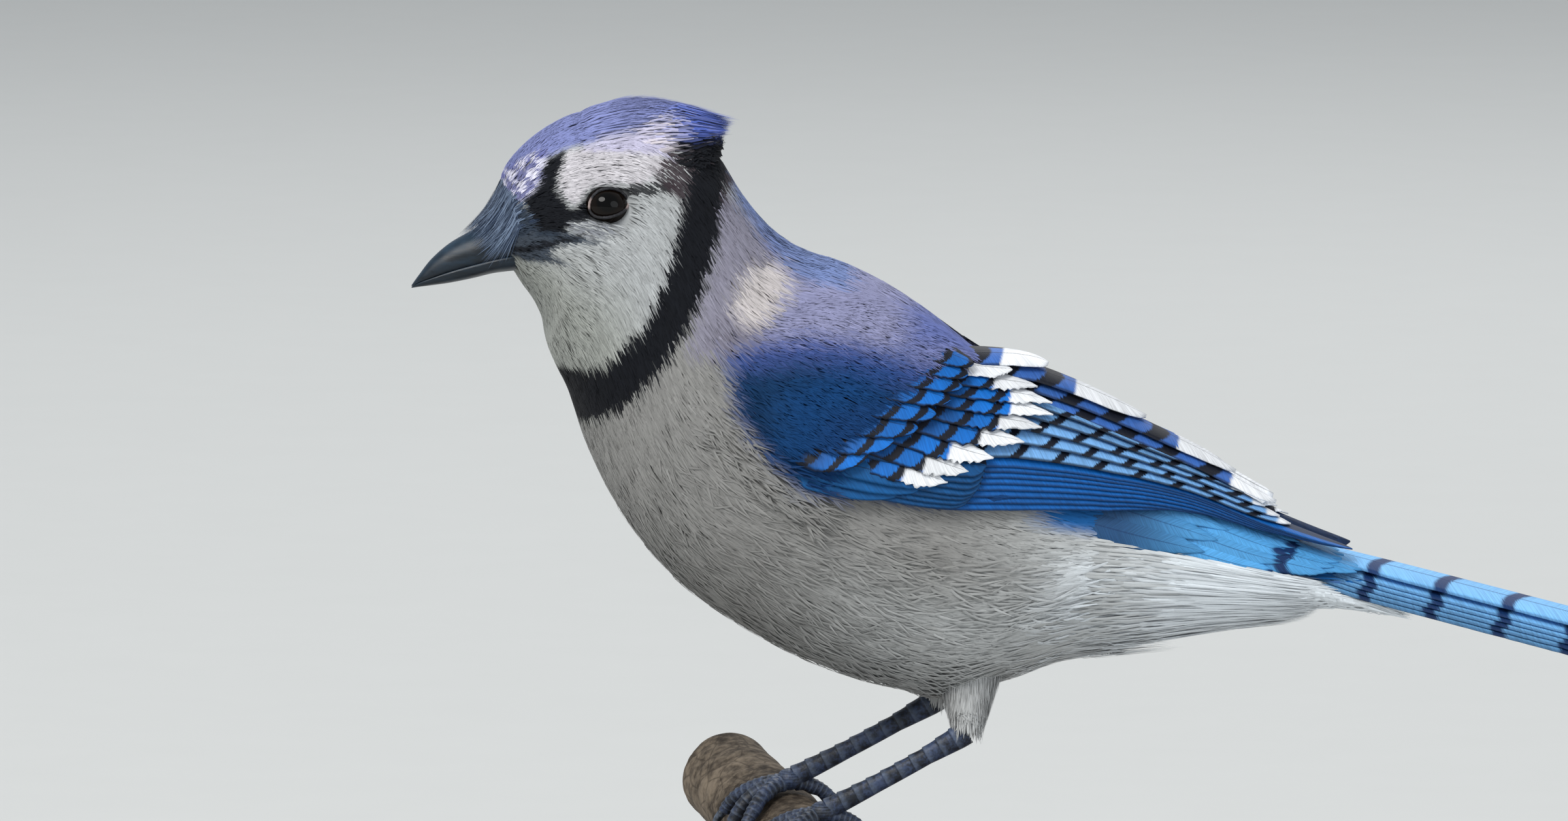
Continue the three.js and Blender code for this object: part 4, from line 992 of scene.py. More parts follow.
def on_tail(along, across, height):
    """A point of the tail: along it, across it to the bird's right, and above its middle."""
    y = across * math.cos(TAIL["roof"])
    drop = height - np.abs(across) * math.sin(TAIL["roof"])
    rolled_y = y * math.cos(TAIL["roll"]) - drop * math.sin(TAIL["roll"])
    rolled_z = y * math.sin(TAIL["roll"]) + drop * math.cos(TAIL["roll"])
    cos, sin = math.cos(TAIL["slope"]), math.sin(TAIL["slope"])
    return np.stack([
        TAIL["root_x"] + along * cos + rolled_z * sin,
        rolled_y + 0 * along,
        TAIL["root_z"] - along * sin + rolled_z * cos,
    ], -1)


def web_width(u, roundness, point, tip=0.05):
    """Half width of a feather's web along it, as a share of its widest; a high point makes a sharp tip."""
    root = 0.45 + 0.55 * smooth(u, 0, 0.3)
    end = np.clip(1 - np.clip((u - roundness) / (1 - roundness), 0, 1) ** 2, 0, 1) ** point
    return root * np.maximum(end, tip)


def arc(u, start, middle, end):
    """Points along a curve that leaves start toward middle and comes to end from it."""
    u = u[:, None]
    return (1 - u) ** 2 * start + 2 * (u * (1 - u)) * middle + u**2 * end


def quills(name, material, feathers, to_point, per_mm, seed, rows=40, columns=9, run_of=None):
    """Feathers with whole webs in one mesh. Each is an arc of along, across and height."""
    rng = np.random.default_rng(seed)
    u = np.linspace(0, 1, rows) ** 0.8
    column = np.linspace(-1, 1, columns)
    points, marks, maps = [], [], []
    cells = math.ceil(math.sqrt(len(feathers)))
    for index, feather in enumerate(feathers):
        feather = {
            "point": 0.5, "round": 0.75, "torn": 0.05, "tilt": 0.0, "bow": 0.15, "white": 0.0, **feather,
        }
        line = arc(u, *(np.array(feather[key], float) for key in ("root", "via", "tip")))
        outer = web_width(u, feather["round"], feather["point"])
        inner = web_width(u, feather.get("inner_round", feather["round"]), feather["point"])
        half = feather["width"] / 2 * np.where(column[None] < 0, outer[:, None], inner[:, None])
        span = column[None] * half
        torn = feather["torn"] * rng.random((rows, 2)) * smooth(u, 0.3, 0.95)[:, None]
        span[:, 0] *= 1 - torn[:, 0]
        span[:, -1] *= 1 - torn[:, 1]
        along = line[:, :1] + 0 * span
        across = line[:, 1:2] + span * per_mm(line[:, 0], line[:, 2])[:, None]
        level = line[:, 2:] - span * feather["tilt"] + feather["bow"] * (1 - column[None] ** 2)
        upper = to_point(along, across, level + VANE_THICK / 2)
        lower = to_point(along, across, level - VANE_THICK / 2)
        points += [upper.reshape(-1, 3), lower.reshape(-1, 3)]
        steps = np.linalg.norm(np.diff(upper[:, columns // 2], axis=0), axis=-1)
        to_tip = np.append(np.cumsum(steps[::-1])[::-1], 0.0)[:, None] + 0 * span
        white = feather["white"]
        shift = rng.uniform(0, feather.get("shift", 1.2))
        run = to_tip - white if run_of is None else run_of(upper)
        own = np.full(span.shape, feather.get("own", rng.random()))
        mark = np.stack([to_tip, column[None] + 0 * span, own, run + shift, white + 0 * span], -1)
        mark = mark.reshape(-1, 5)
        marks += [mark, mark]
        cell = np.array((index % cells, index // cells)) / cells
        spot_v = (u[:, None] + 0 * span).ravel() * 0.9 / cells
        spot_u = ((column[None] + 1) / 2 + 0 * span).ravel() * 0.42 / cells
        for side_shift in (0.02, 0.5):
            spot = (cell[0] + side_shift / cells + spot_u, cell[1] + 0.05 / cells + spot_v)
            maps.append(np.stack(spot, -1))
    grid = np.arange(rows * columns).reshape(rows, columns)
    top = np.stack([grid[:-1, :-1], grid[:-1, 1:], grid[1:, 1:], grid[1:, :-1]], -1).reshape(-1, 4)
    under = rows * columns
    rim = np.concatenate([grid[0], grid[1:, -1], grid[-1, -2::-1], grid[-2:0:-1, 0]])
    ahead = np.roll(rim, -1)
    wall = np.stack([rim, rim + under, ahead + under, ahead], -1)
    one = np.concatenate([top, top[:, ::-1] + under, wall])
    faces = (np.arange(len(feathers))[:, None, None] * 2 * under + one).reshape(-1, 4)
    piece = mesh_piece(name, np.concatenate(points), faces)
    marks = np.concatenate(marks)
    for k, mark_name in enumerate(QUILL_MARKS):
        number_points(piece, mark_name, marks[:, k])
    bake_map(piece, np.concatenate(maps))
    piece.data.materials.append(material)
    return piece


WEB_COLOURS = ("Web", "Bar", "Inner", "Tip")
WEB_NUMBERS = ("Period", "Bar share", "Inner edge", "Rim", "Dark from", "Dark to", "Darkness")


def web_group():
    """A feather's web: bars across it, a pale tip, a dark inner half, a painted shade line along its outer
    edge, its shaft and its barbs.
    """
    tree = bpy.data.node_groups.new("Feather web", "ShaderNodeTree")
    for name in WEB_COLOURS:
        tree.interface.new_socket(name, in_out="INPUT", socket_type="NodeSocketColor")
    for name in WEB_NUMBERS:
        tree.interface.new_socket(name, in_out="INPUT", socket_type="NodeSocketFloat")
    tree.interface.new_socket("Colour", in_out="OUTPUT", socket_type="NodeSocketColor")
    tree.interface.new_socket("Height", in_out="OUTPUT", socket_type="NodeSocketFloat")
    given = tree.nodes.new("NodeGroupInput").outputs
    result = tree.nodes.new("NodeGroupOutput").inputs
    from_tip, side, feather, run, white = (read(tree, mark) for mark in QUILL_MARKS)
    off_shaft = reckon(tree, "ABSOLUTE", side)
    slant = reckon(tree, "MULTIPLY_ADD", off_shaft, 2.6, from_tip)
    barb_place = wire(
        tree, "CombineXYZ", reckon(tree, "MULTIPLY", slant, 2.2), reckon(tree, "MULTIPLY", side, 0.35),
        reckon(tree, "MULTIPLY", feather, 50.0),
    )
    barb = wire(tree, "TexNoise", barb_place.outputs[0], None, 1.6, 2.0, 0.5).outputs[0]
    ragged = reckon(tree, "MULTIPLY_ADD", barb, 1.6, -0.8)
    bent = reckon(tree, "MULTIPLY_ADD", reckon(tree, "MULTIPLY", off_shaft, off_shaft), -1.9, ragged)
    phase = reckon(tree, "DIVIDE", reckon(tree, "ADD", run, bent), given["Period"])
    nearness = reckon(tree, "ABSOLUTE", reckon(tree, "SUBTRACT", reckon(tree, "FRACT", phase), 0.5))
    bar_edge = reckon(tree, "MULTIPLY", given["Bar share"], 0.5)
    bar_start = reckon(tree, "SUBTRACT", bar_edge, 0.04)
    bar_end = reckon(tree, "ADD", bar_edge, 0.04)
    bar = fade(tree, nearness, bar_start, bar_end, 1.0, 0.0)
    has_bars = reckon(tree, "GREATER_THAN", given["Bar share"], 0.01)
    barred = reckon(tree, "MULTIPLY", has_bars, reckon(tree, "GREATER_THAN", run, 0.0))
    colour = blend(tree, reckon(tree, "MULTIPLY", bar, barred), given["Web"], given["Bar"])
    inner_start = reckon(tree, "SUBTRACT", given["Inner edge"], 0.12)
    inner = fade(tree, side, inner_start, given["Inner edge"])
    colour = blend(tree, inner, colour, given["Inner"])
    dim = fade(tree, run, given["Dark from"], given["Dark to"], 0.0, given["Darkness"])
    colour = blend(tree, dim, colour, given["Bar"])
    # Painted shade: a dark line along the web's outer edge, as the shade where one feather lies on the next.
    rim = reckon(tree, "MULTIPLY", fade(tree, side, -0.97, -0.8, 1.0, 0.0), given["Rim"])
    colour = blend(tree, rim, colour, given["Bar"])
    past_tip = reckon(tree, "SUBTRACT", reckon(tree, "ADD", from_tip, ragged), white)
    has_tip = reckon(tree, "GREATER_THAN", white, 0.01)
    tipped = reckon(tree, "MULTIPLY", fade(tree, past_tip, -0.5, 0.4, 1.0, 0.0), has_tip)
    colour = blend(tree, tipped, colour, given["Tip"])
    shaft = fade(tree, off_shaft, 0.02, 0.06, 0.5, 0.0)
    colour = blend(tree, shaft, colour, given["Bar"])
    strand = fade(tree, barb, 0.3, 0.7, 0.82, 1.15)
    tint = reckon(tree, "MULTIPLY_ADD", feather, 0.34, 0.8)
    colour = shaded(tree, colour, reckon(tree, "MULTIPLY", strand, tint))
    tree.links.new(colour, result["Colour"])
    tree.links.new(reckon(tree, "ADD", barb, reckon(tree, "MULTIPLY", shaft, 0.8)), result["Height"])
    return tree


WEB = web_group()
QUILL_BLACK = (0.006, 0.008, 0.016)
WEB_WHITE = (0.80, 0.82, 0.85)


# rim sets how dark the painted shade line along each web's outer edge is.
def web_material(
    name, web, bar=QUILL_BLACK, inner=QUILL_BLACK, period=6.0, share=0.0, inner_edge=0.3, rim=0.6,
    dark=(0, 1, 0),
):
    """A web's colours in the shared group; dark is the run where it darkens, from and to, and how much."""
    material, tree, shader = new_material(name, 0.55, 0.25)
    node = tree.nodes.new("ShaderNodeGroup")
    node.node_tree = WEB
    for socket, value in zip(WEB_COLOURS, (web, bar, inner, WEB_WHITE)):
        node.inputs[socket].default_value = (*value, 1)
    for socket, value in zip(WEB_NUMBERS, (period, share, inner_edge, rim, *dark)):
        node.inputs[socket].default_value = value
    shade, _ = specks(tree, 1200.0, 90.0, 0.25)
    colour_in(tree, shader, node.outputs["Colour"], shade)
    bump(tree, shader, node.outputs["Height"], 0.3, 0.0002)
    return material


TAIL_BLUE = (0.170, 0.430, 0.760)
TAIL_BAR = (0.006, 0.030, 0.110)
TAIL_BARS = {"period": 14.4, "first_x": 93.0, "share": 0.19, "slant": 0.7}
tail_web = web_material(
    "tail web", TAIL_BLUE, bar=TAIL_BAR, inner=TAIL_BLUE, period=TAIL_BARS["period"],
    share=TAIL_BARS["share"], inner_edge=1.6, rim=0.5,
)


def tail_quills():
    feathers = []
    for pair in range(TAIL["pairs"]):
        for side in (-1, 1):
            length = TAIL["length"] - TAIL["shorter"] * (pair / (TAIL["pairs"] - 1)) ** 1.5
            outer = TAIL["edge"] + TAIL["edge_step"] * pair
            top = pair == 0 and side < 0
            inner = -TAIL["lap"] if top else max(0.3, outer - TAIL["width"])
            across = side * (outer + inner) / 2
            height = (TAIL["lapped"] if top else -TAIL["lapped"]) - TAIL["layer"] * pair
            feathers.append({
                "root": (0, across * TAIL["root_spread"], height),
                "via": (length * 0.45, across, height + 0.5),
                "tip": (length, across, height),
                "width": outer - inner, "round": 0.86, "bow": 0.45,
                "white": 0.0 if pair == 0 else 9.0 + pair, "shift": 1.6, "own": 0.9 - 0.28 * pair,
            })
    return feathers


def from_first_bar(points):
    """Millimetres from the tail's first bar, the bars slanting forward away from the middle."""
    start = (points[..., 0] - TAIL_BARS["first_x"]) / math.cos(TAIL["slope"])
    return start + TAIL_BARS["slant"] * np.abs(points[..., 1]) + TAIL_BARS["period"] / 2


def one_mm(along, height):
    return np.ones_like(along)


tail = quills("tail_quills", tail_web, tail_quills(), on_tail, one_mm, 21, 60, run_of=from_first_bar)
set_on(tail, "tail_plumage", "tail")


# Coverts of the tail. Above, short blue vanes lie in rows from the rump over the tail's roots; below,
# long loose white feathers run from the vent along the tail's underside.
def on_rump(place, round_, lift):
    """A point of the rump, carried on past the last section over the tail."""
    past = np.maximum(place - LAST, 0)[..., None]
    end = on_body(np.full_like(place, LAST), round_, lift)
    before = on_body(np.full_like(place, LAST - 0.2), round_, lift)
    return np.where(
        past > 0, end + (end - before) * past / 0.2, on_body(np.minimum(place, LAST), round_, lift),
    )


def degrees_per_mm(place, lift):
    return np.degrees(1 / (np.interp(place, np.arange(LAST + 1), GIRTHS) + lift))


def rump_vanes():
    feathers = []
    for count, root_place, tip_place, lift, reach_round, width in (
        (11, 19.6, 22.3, -0.3, 50, 5.6),
        (12, 19.2, 21.7, 0.2, 66, 6.0),
        (14, 18.3, 20.8, 0.6, 79, 6.0),
        (14, 17.2, 19.8, 0.8, 77, 6.0),
    ):
        for i in range(count):
            around = (2 * i / (count - 1) - 1) * reach_round
            shorter = 0.4 * (around / reach_round) ** 2
            feathers.append({
                "root": (root_place, around * 0.92, -0.8),
                "via": ((root_place + tip_place) / 2, around, lift + 0.6),
                "tip": (tip_place - shorter, around * 0.97, lift),
                "width": width, "round": 0.45, "bow": 0.25, "point": 0.8, "torn": 0.2, "shift": 2.0,
            })
    return feathers


GIRTHS = (np.linalg.norm(SECTIONS[:, 0:2] - SECTIONS[:, 2:4], axis=-1) / 2 + SECTIONS[:, 4]) / 2
rump_web = web_material(
    "rump web", (0.080, 0.330, 0.665), bar=TAIL_BAR, inner=TAIL_BLUE, period=TAIL_BARS["period"],
    share=TAIL_BARS["share"], inner_edge=1.6, rim=0.12, dark=(-4.0, -24.0, 0.85),
)
rump = quills(
    "tail_upper_coverts", rump_web, rump_vanes(), on_rump, degrees_per_mm, 25, rows=30, run_of=from_first_bar,
)
set_on(rump, "tail_plumage", "tail", "torso")


def vent_blades(count=6500):
    rng = np.random.default_rng(26)
    place = rng.uniform(17.2, 21.9, count)
    a = 80 + 100 * rng.random(count) ** 1.2
    a = np.maximum(a, np.interp(place, (19.8, 21.0, 21.9), (80, 96, 110)) + rng.uniform(-3, 3, count))
    side = rng.choice((-1, 1), count)
    round_ = side * a
    ahead = rng.uniform(1.2, 2.2, count)
    root = on_body(place, round_, -1.6)
    tail_side = np.sin(np.radians(a))
    tail_along = (root[:, 0] - TAIL["root_x"]) / math.cos(TAIL["slope"]) + rng.uniform(8, 14, count)
    tail_along = tail_along.clip(4, 33)
    drop = np.interp(tail_along, (10, 22, 33), (-6.3, -6.8, -7.4)) + rng.uniform(0, 1.4, count)
    drop = drop + 2.0 * tail_side
    tail_under = on_tail(tail_along, side * 11.5 * tail_side, drop)

    def at(step, lift):
        end = np.minimum(place + step, LAST)
        past = smooth(place + step, 20.9, 22.7)[:, None]
        return on_body(end, round_, lift) * (1 - past) + tail_under * past

    tip = at(ahead, rng.uniform(0.1, 1.3, count))
    _, _, out, _, _ = body_ways(place, round_)
    middle = (on_body(place, round_, 0.3) + tip) / 2 + rng.uniform(0.0, 0.5, count)[:, None] * out
    whiter = smooth(place, 17.0, 18.3)[:, None]
    colour = toward(BELLY, VENT_WHITE, whiter) * rng.normal(1.04, 0.06, (count, 1))
    widths = rng.uniform(0.4, 0.8, count)
    centres = np.stack([root, middle, tip], 1)
    return blades(
        "vent_plumes", centres, out, widths, unwrap(place, round_), colour, rng.normal(1, 0.06, count),
    )


set_on(vent_blades(), "tail_plumage", "tail", "torso")


# Wings. Each folded wing shows, from its lower edge up, the primaries, the barred secondaries and
# the white-tipped tertials, with the coverts lying over their roots in rows.
def on_wing(side):
    """A point of a wing: place, share of the way from its lower edge to its upper, height off the body.

    The right wing's upper edge and its coverts are tucked lower, out of sight behind the back.
    """
    def point(place, share, lift):
        coverts = smooth(share, 0.3, 0.55) * (1 - smooth(place, 15.6, 17.2))
        tucked = 3.4 * smooth(share, 0.6, 0.84) + 2.4 * coverts
        lift = lift - (side > 0) * tucked
        low = np.interp(place, low_place, low_angle)
        top = np.interp(place, top_place, top_angle)
        return on_body(place, side * (low + (top - low) * share), lift)
    return point


def share_per_mm(place, lift):
    """How much of a wing's height one millimetre is."""
    low = np.interp(place, low_place, low_angle)
    top = np.interp(place, top_place, top_angle)
    girth = np.interp(place, np.arange(LAST + 1), GIRTHS)
    return np.degrees(1 / (girth + lift)) / (low - top)


def between(rows, share):
    """A row between the given ones, at a share of the way from the first to the last."""
    rows = np.array(rows, float)
    at = share * (len(rows) - 1)
    return np.array([np.interp(at, np.arange(len(rows)), rows[:, c]) for c in range(rows.shape[1])])


def tier(count, roots, vias, tips, widths, **shape):
    """A row of feathers whose roots, bends, tips and widths change evenly from first to last."""
    feathers = []
    for i in range(count):
        share = i / max(1, count - 1)
        feathers.append({
            "root": between(roots, share), "via": between(vias, share), "tip": between(tips, share),
            "width": widths[0] + (widths[1] - widths[0]) * share, **shape,
        })
    return feathers


PRIMARY_BLUE = (0.003, 0.105, 0.390)
SECONDARY_BLUE = (0.170, 0.385, 0.720)
COVERT_BLUE = (0.006, 0.140, 0.520)
HAND_BLUE = (0.003, 0.072, 0.225)
# Each tier's feathers have a root, a bend and a tip, as place, share of the wing's height and lift.
WING_TIERS = {
    "primaries": dict(
        material=web_material("primary web", PRIMARY_BLUE, inner=(0.006, 0.020, 0.060), inner_edge=-0.35),
        feathers=tier(
            8, [[12.9, 0.10, 1.2], [13.3, 0.28, 1.8]], [[16.2, 0.05, 1.9], [17.3, 0.30, 3.0]],
            [[19.0, 0.03, 1.6], [20.0, 0.1, 2.0], [21.0, 0.2, 2.5], [21.7, 0.3, 2.9], [21.9, 0.36, 3.2]],
            (5.4, 6.6), tilt=0.28, bow=0.1, round=0.8,
        ),
    ),
    "secondaries": dict(
        material=web_material(
            "secondary web", SECONDARY_BLUE, period=8.6, share=0.24, inner_edge=0.25, rim=0.85,
        ),
        feathers=tier(
            5, [[13.4, 0.34, 2.0], [14.0, 0.66, 2.4]], [[17.0, 0.37, 3.5], [16.3, 0.70, 4.6]],
            [[20.5, 0.40, 3.6], [20.2, 0.49, 4.2], [19.8, 0.57, 4.7], [19.2, 0.64, 5.1]],
            (8.0, 8.5), tilt=0.3, bow=0.12, round=0.8, white=3.0,
        ),
    ),
    "tertials": dict(
        material=web_material(
            "tertial web", (0.040, 0.130, 0.430), period=9.4, share=0.42, inner_edge=0.7, rim=0.7,
        ),
        feathers=[
            dict(
                root=root, via=via, tip=tip, width=width, white=white,
                tilt=0.12, bow=0.5, round=0.8, inner_round=0.7, torn=0.04,
            )
            for root, via, tip, width, white in (
                ((14.2, 0.72, 1.0), (16.8, 0.72, 6.2), (20.15, 0.66, 5.6), 8.0, 10.5),
                ((14.3, 0.78, 1.0), (16.4, 0.78, 6.8), (19.45, 0.78, 6.6), 9.0, 13.5),
                ((14.4, 0.82, 1.0), (15.8, 0.83, 7.2), (18.0, 0.84, 7.4), 9.5, 16.0),
                ((14.4, 0.86, 0.8), (15.1, 0.88, 6.6), (16.2, 0.88, 7.4), 9.0, 10.0),
            )
        ],
    ),
    "primary_coverts": dict(
        material=web_material(
            "primary covert web", HAND_BLUE, inner=(0.003, 0.010, 0.030), inner_edge=0.2, rim=0.5,
        ),
        feathers=tier(
            7, [[12.7, 0.09, 1.2], [12.9, 0.27, 2.3]], [[14.0, 0.06, 3.0], [14.4, 0.24, 5.2]],
            [[15.5, 0.05, 2.6], [15.6, 0.11, 3.6], [15.6, 0.2, 4.6]], (4.2, 5.4),
            tilt=0.28, bow=0.12, round=0.9,
        ),
    ),
    "alula": dict(
        material=web_material(
            "alula web", (0.004, 0.092, 0.285), inner=(0.003, 0.012, 0.040), inner_edge=0.8, rim=0.2,
        ),
        feathers=tier(
            3, [[12.5, 0.07, 0.6], [12.6, 0.17, 2.6]], [[13.4, 0.03, 3.0], [13.8, 0.14, 5.3]],
            [[14.4, 0.05, 3.2], [14.9, 0.11, 4.4]], (3.8, 4.4), tilt=0.22, bow=0.3, round=0.6,
        ),
    ),
    "greater_coverts": dict(
        material=web_material(
            "greater covert web", COVERT_BLUE, period=5.8, share=0.33, inner_edge=0.45, rim=0.9,
            dark=(5, 16, 0.6),
        ),
        feathers=tier(
            9, [[12.9, 0.26, 1.4], [13.3, 0.56, 1.8], [13.8, 0.8, 0.8]],
            [[14.0, 0.2, 5.4], [14.9, 0.46, 5.8], [15.3, 0.74, 6.4]],
            [[15.05, 0.12, 4.9], [15.5, 0.2, 5.2], [16.2, 0.34, 5.7], [16.5, 0.5, 6.2], [16.4, 0.62, 6.6],
             [15.6, 0.74, 6.8]],
            (7.0, 7.9), tilt=0.26, bow=0.15, round=0.66, inner_round=0.5, point=0.95, torn=0.45,
            white=9.0, shift=3.6,
        ),
    ),
    "median_coverts": dict(
        material=web_material(
            "median covert web", COVERT_BLUE, period=5.4, share=0.33, inner_edge=0.5, rim=0.9,
            dark=(5, 17, 0.8),
        ),
        feathers=tier(
            8, [[12.3, 0.2, 2.2], [12.5, 0.5, 2.6], [13.1, 0.8, 0.8]],
            [[13.0, 0.17, 6.2], [13.5, 0.5, 7.0], [14.0, 0.76, 6.8]],
            [[13.7, 0.2, 6.1], [14.4, 0.36, 6.6], [14.8, 0.54, 7.1], [14.9, 0.7, 7.5]],
            (7.3, 7.7), tilt=0.24, bow=0.2, round=0.62, inner_round=0.45, torn=0.15, shift=3.6,
        ),
    ),
}
for word, side in SIDES.items():
    for seed, (name, row) in enumerate(WING_TIERS.items(), 30):
        piece = quills(
            f"wing_{word}_{name}", row["material"], row["feathers"], on_wing(side), share_per_mm, seed,
        )
        set_on(piece, "wing_plumage", f"wing_{word}")


# Shoulder. Soft scale-like lesser coverts hide the arm of the wing and the roots of the coverts, and
# the scapulars run on from the back over the wing's upper edge.
def on_arm(place, round_):
    """Over the wing's arm and, higher up, the scapulars that lie over the roots of the coverts."""
    a = np.abs(round_)
    low = np.interp(place, (10.8, 11.6, 12.2, 13.0), (85, 92, 90, 82))
    top = np.interp(place, (10.8, 12.2, 13, 14.2), (60, 34, 25, 18)) - 6
    rear = np.interp(a, (16, 30, 50, 92), (15.0, 14.6, 13.9, 12.6))
    return ((a > top) & (a < low) & (place < rear)).astype(float)


shoulder = grow(
    "coat_shoulder", 41, 0.95, (10.8, 15.0), (-98, 98), on_arm,
    fan=12, length=0.6, width=0.8, stand=(0.7, 3.2),
)
set_on(shoulder, "wing_plumage", "wing_left", "wing_right")


def over_edge(place, round_):
    """Along the lower front edge of the wing, where feathers of the breast lie over it."""
    a = np.abs(round_)
    return ((a > np.interp(place, (10.6, 12.2), (86, 93))) & (a < 106)).astype(float)


flank = grow(
    "coat_flank", 42, 2.0, (10.7, 13.3), (-106, 106), over_edge,
    fan=16, length=0.85, stand=(0.8, 2.2), wander=8,
)
set_on(flank, "body_plumage", "torso")


# Crest. Long narrow feathers rooted on the crown and swept back to a point that stands off the nape.
# Each is a tuft of fine barbs like the coat's, laid along the crest.
CREST_PLACES = (3.4, 3.9, 4.9, 5.9, 6.7, 7.3)
CREST_TIP_X = (-45.0, -41.0, -33.5, -27.2, -29.6, -32.2)
CREST_TIP_Z = (203.8, 203.4, 201.4, 199.1, 197.2, 195.6)
CREST_PULL = (0.0, 0.3, 0.75, 1.0, 1.0, 1.0)
CREST_RISE_PLACES = (3.0, 4.0, 5.0, 6.0, 7.0, 8.0)
CREST_RISES = (0.2, 0.6, 1.5, 2.4, 4.2, 5.0)


def crest_blades(count=3600):
    rng = np.random.default_rng(51)
    place = rng.uniform(3.2, 7.3, count)
    round_ = rng.normal(0, 20, count).clip(-44, 44)
    columns = round_ / 17
    narrow = 1 - smooth(np.abs(round_), 8, 54)
    layer = rng.uniform(0, 1, count)
    root = on_body(place, round_, skin_lift(place, round_) - 0.4)

    def raised(ahead):
        rise = np.interp(place + ahead, CREST_RISE_PLACES, CREST_RISES) * narrow * (0.25 + 0.75 * layer)
        return on_body(place + ahead, round_ * (1 - 0.03 * ahead), rise)

    drawn = with_head(
        np.interp(place, CREST_PLACES, CREST_TIP_X) - 1.4 * np.abs(columns) + rng.normal(0, 0.7, count),
        1.7 * columns + rng.normal(0, 0.3, count),
        np.interp(place, CREST_PLACES, CREST_TIP_Z) - 1.7 * np.abs(columns) - 0.8 * (1 - layer),
    )
    pull = np.interp(place, CREST_PLACES, CREST_PULL)[:, None]
    tip = toward(raised(2.0), drawn, pull)
    middle = toward(raised(1.0), (root + tip) / 2, 0.3)
    centres = np.stack([root, middle, tip], 1)
    _, _, out, _, _ = body_ways(place, round_)
    looked_at = centres[:, 1] * 0.4 + centres[:, 2] * 0.6
    seen = looked_at[:, 0], looked_at[:, 2] - np.abs(looked_at[:, 1]) * VIEW_RISE
    colour = markings(place, round_, rng, seen)
    deep = (0.55 * smooth(looked_at[:, 0], -42, -31) * smooth(looked_at[:, 2], 194, 197))[:, None]
    colour = toward(colour, np.array(CREST_BLUE) * 1.7, deep * (rng.random((count, 1)) > 0.25))
    widths = rng.uniform(0.3, 0.6, count)
    return blades("crest", centres, out, widths, unwrap(place, round_), colour, rng.normal(1, 0.1, count))


set_on(crest_blades(), "head_plumage", "head")


# Bill. Two horn sheaths, dark slate, meeting along the line of the mouth; the upper one slightly
# longer, with a rounded ridge. Its base runs in under the feathers of the face.
BILL = np.array([
    # x, height of ridge, mouth line and keel, half width
    (-93.6, 165.7, 165.4, 165.1, 0.25),
    (-92.2, 167.6, 166.3, 165.3, 1.2),
    (-89.5, 171.0, 167.4, 165.6, 2.2),
    (-85.7, 174.2, 168.8, 166.1, 3.3),
    (-81.0, 176.8, 170.2, 167.0, 4.5),
    (-76.6, 179.2, 171.4, 168.0, 5.8),
    (-70.5, 181.0, 172.6, 168.6, 6.6),
])
HORN_DARK = (0.007, 0.011, 0.016)
# The paler horn colour serves the horn's own streaks and a painted sheen along the bill's top.
HORN_STREAK_AND_SHEEN = (0.020, 0.050, 0.088)


def mandible(name, crown_column, way, rings=70, columns=18):
    """One half of the bill: a half round from side to side, closed along the mouth."""
    place = (np.linspace(0, 1, rings) ** 1.35) * (len(BILL) - 1)
    rows = along_rows(BILL, place)
    a = np.linspace(0, math.pi, columns)
    edge = rows[:, 2] + way * 0.08
    bulge = np.sin(a) ** 0.8
    x = rows[:, :1] + 0 * a
    y = rows[:, 4:5] * np.cos(a)[None]
    z = edge[:, None] + (rows[:, crown_column][:, None] - edge[:, None]) * bulge[None]
    return mesh_piece(name, with_head(x, y, z).reshape(-1, 3), *ring_faces(rings, columns))


horn, tree, shader = new_material("bill horn", 0.42, 0.3, Coat_Weight=0.06, Coat_Roughness=0.3)
streaks = wire(tree, "TexNoise", own_place(tree, 120, 500, 500), None, 1.0, 5.0, 0.6).outputs[0]
# Painted sheen: the upward-facing top of the bill is painted paler, as lit from above; the streaks are the
# horn's own.
facing_up = wire(tree, "SeparateXYZ", wire(tree, "NewGeometry").outputs["Normal"]).outputs["Z"]
ridge = reckon(tree, "MULTIPLY", fade(tree, facing_up, 0.2, 0.95), 0.6)
shade, _ = specks(tree, 1500.0, 120.0, 0.5)
streaks_and_sheen = reckon(tree, "MULTIPLY_ADD", fade(tree, streaks, 0.35, 0.75), 0.35, ridge)
colour = blend(tree, streaks_and_sheen, HORN_DARK, HORN_STREAK_AND_SHEEN)
colour_in(tree, shader, colour, shade)
tree.links.new(fade(tree, streaks, 0.3, 0.7, 0.3, 0.48), shader.inputs["Roughness"])
bump(tree, shader, streaks, 0.25, 0.0002)
for node, column, way in (("bill_upper", 1, 1), ("bill_lower", 3, -1)):
    set_on(mandible(node + "_horn", column, way), "bill_horn", node, material=horn)


# Nasal bristles. Stiff little feathers laid forward from the forehead over the base of the bill,
# hiding the nostrils.
BRISTLE_BLUE = (0.022, 0.036, 0.070)
BRISTLE_PALE = (0.185, 0.245, 0.350)


def over_bill(x, degrees, height):
    """A point over the upper bill: its x, degrees round from the ridge, height off the horn."""
    place = np.interp(x, BILL[:, 0], np.arange(len(BILL)))
    row = along_rows(BILL, place)
    cos, sin = np.cos(np.radians(degrees)), np.sin(np.radians(degrees))
    y = (row[..., 4] + height) * sin
    z = row[..., 2] + (row[..., 1] - row[..., 2]) * np.abs(cos) ** 0.8 * np.sign(cos) + height * cos
    return with_head(x, y, z)


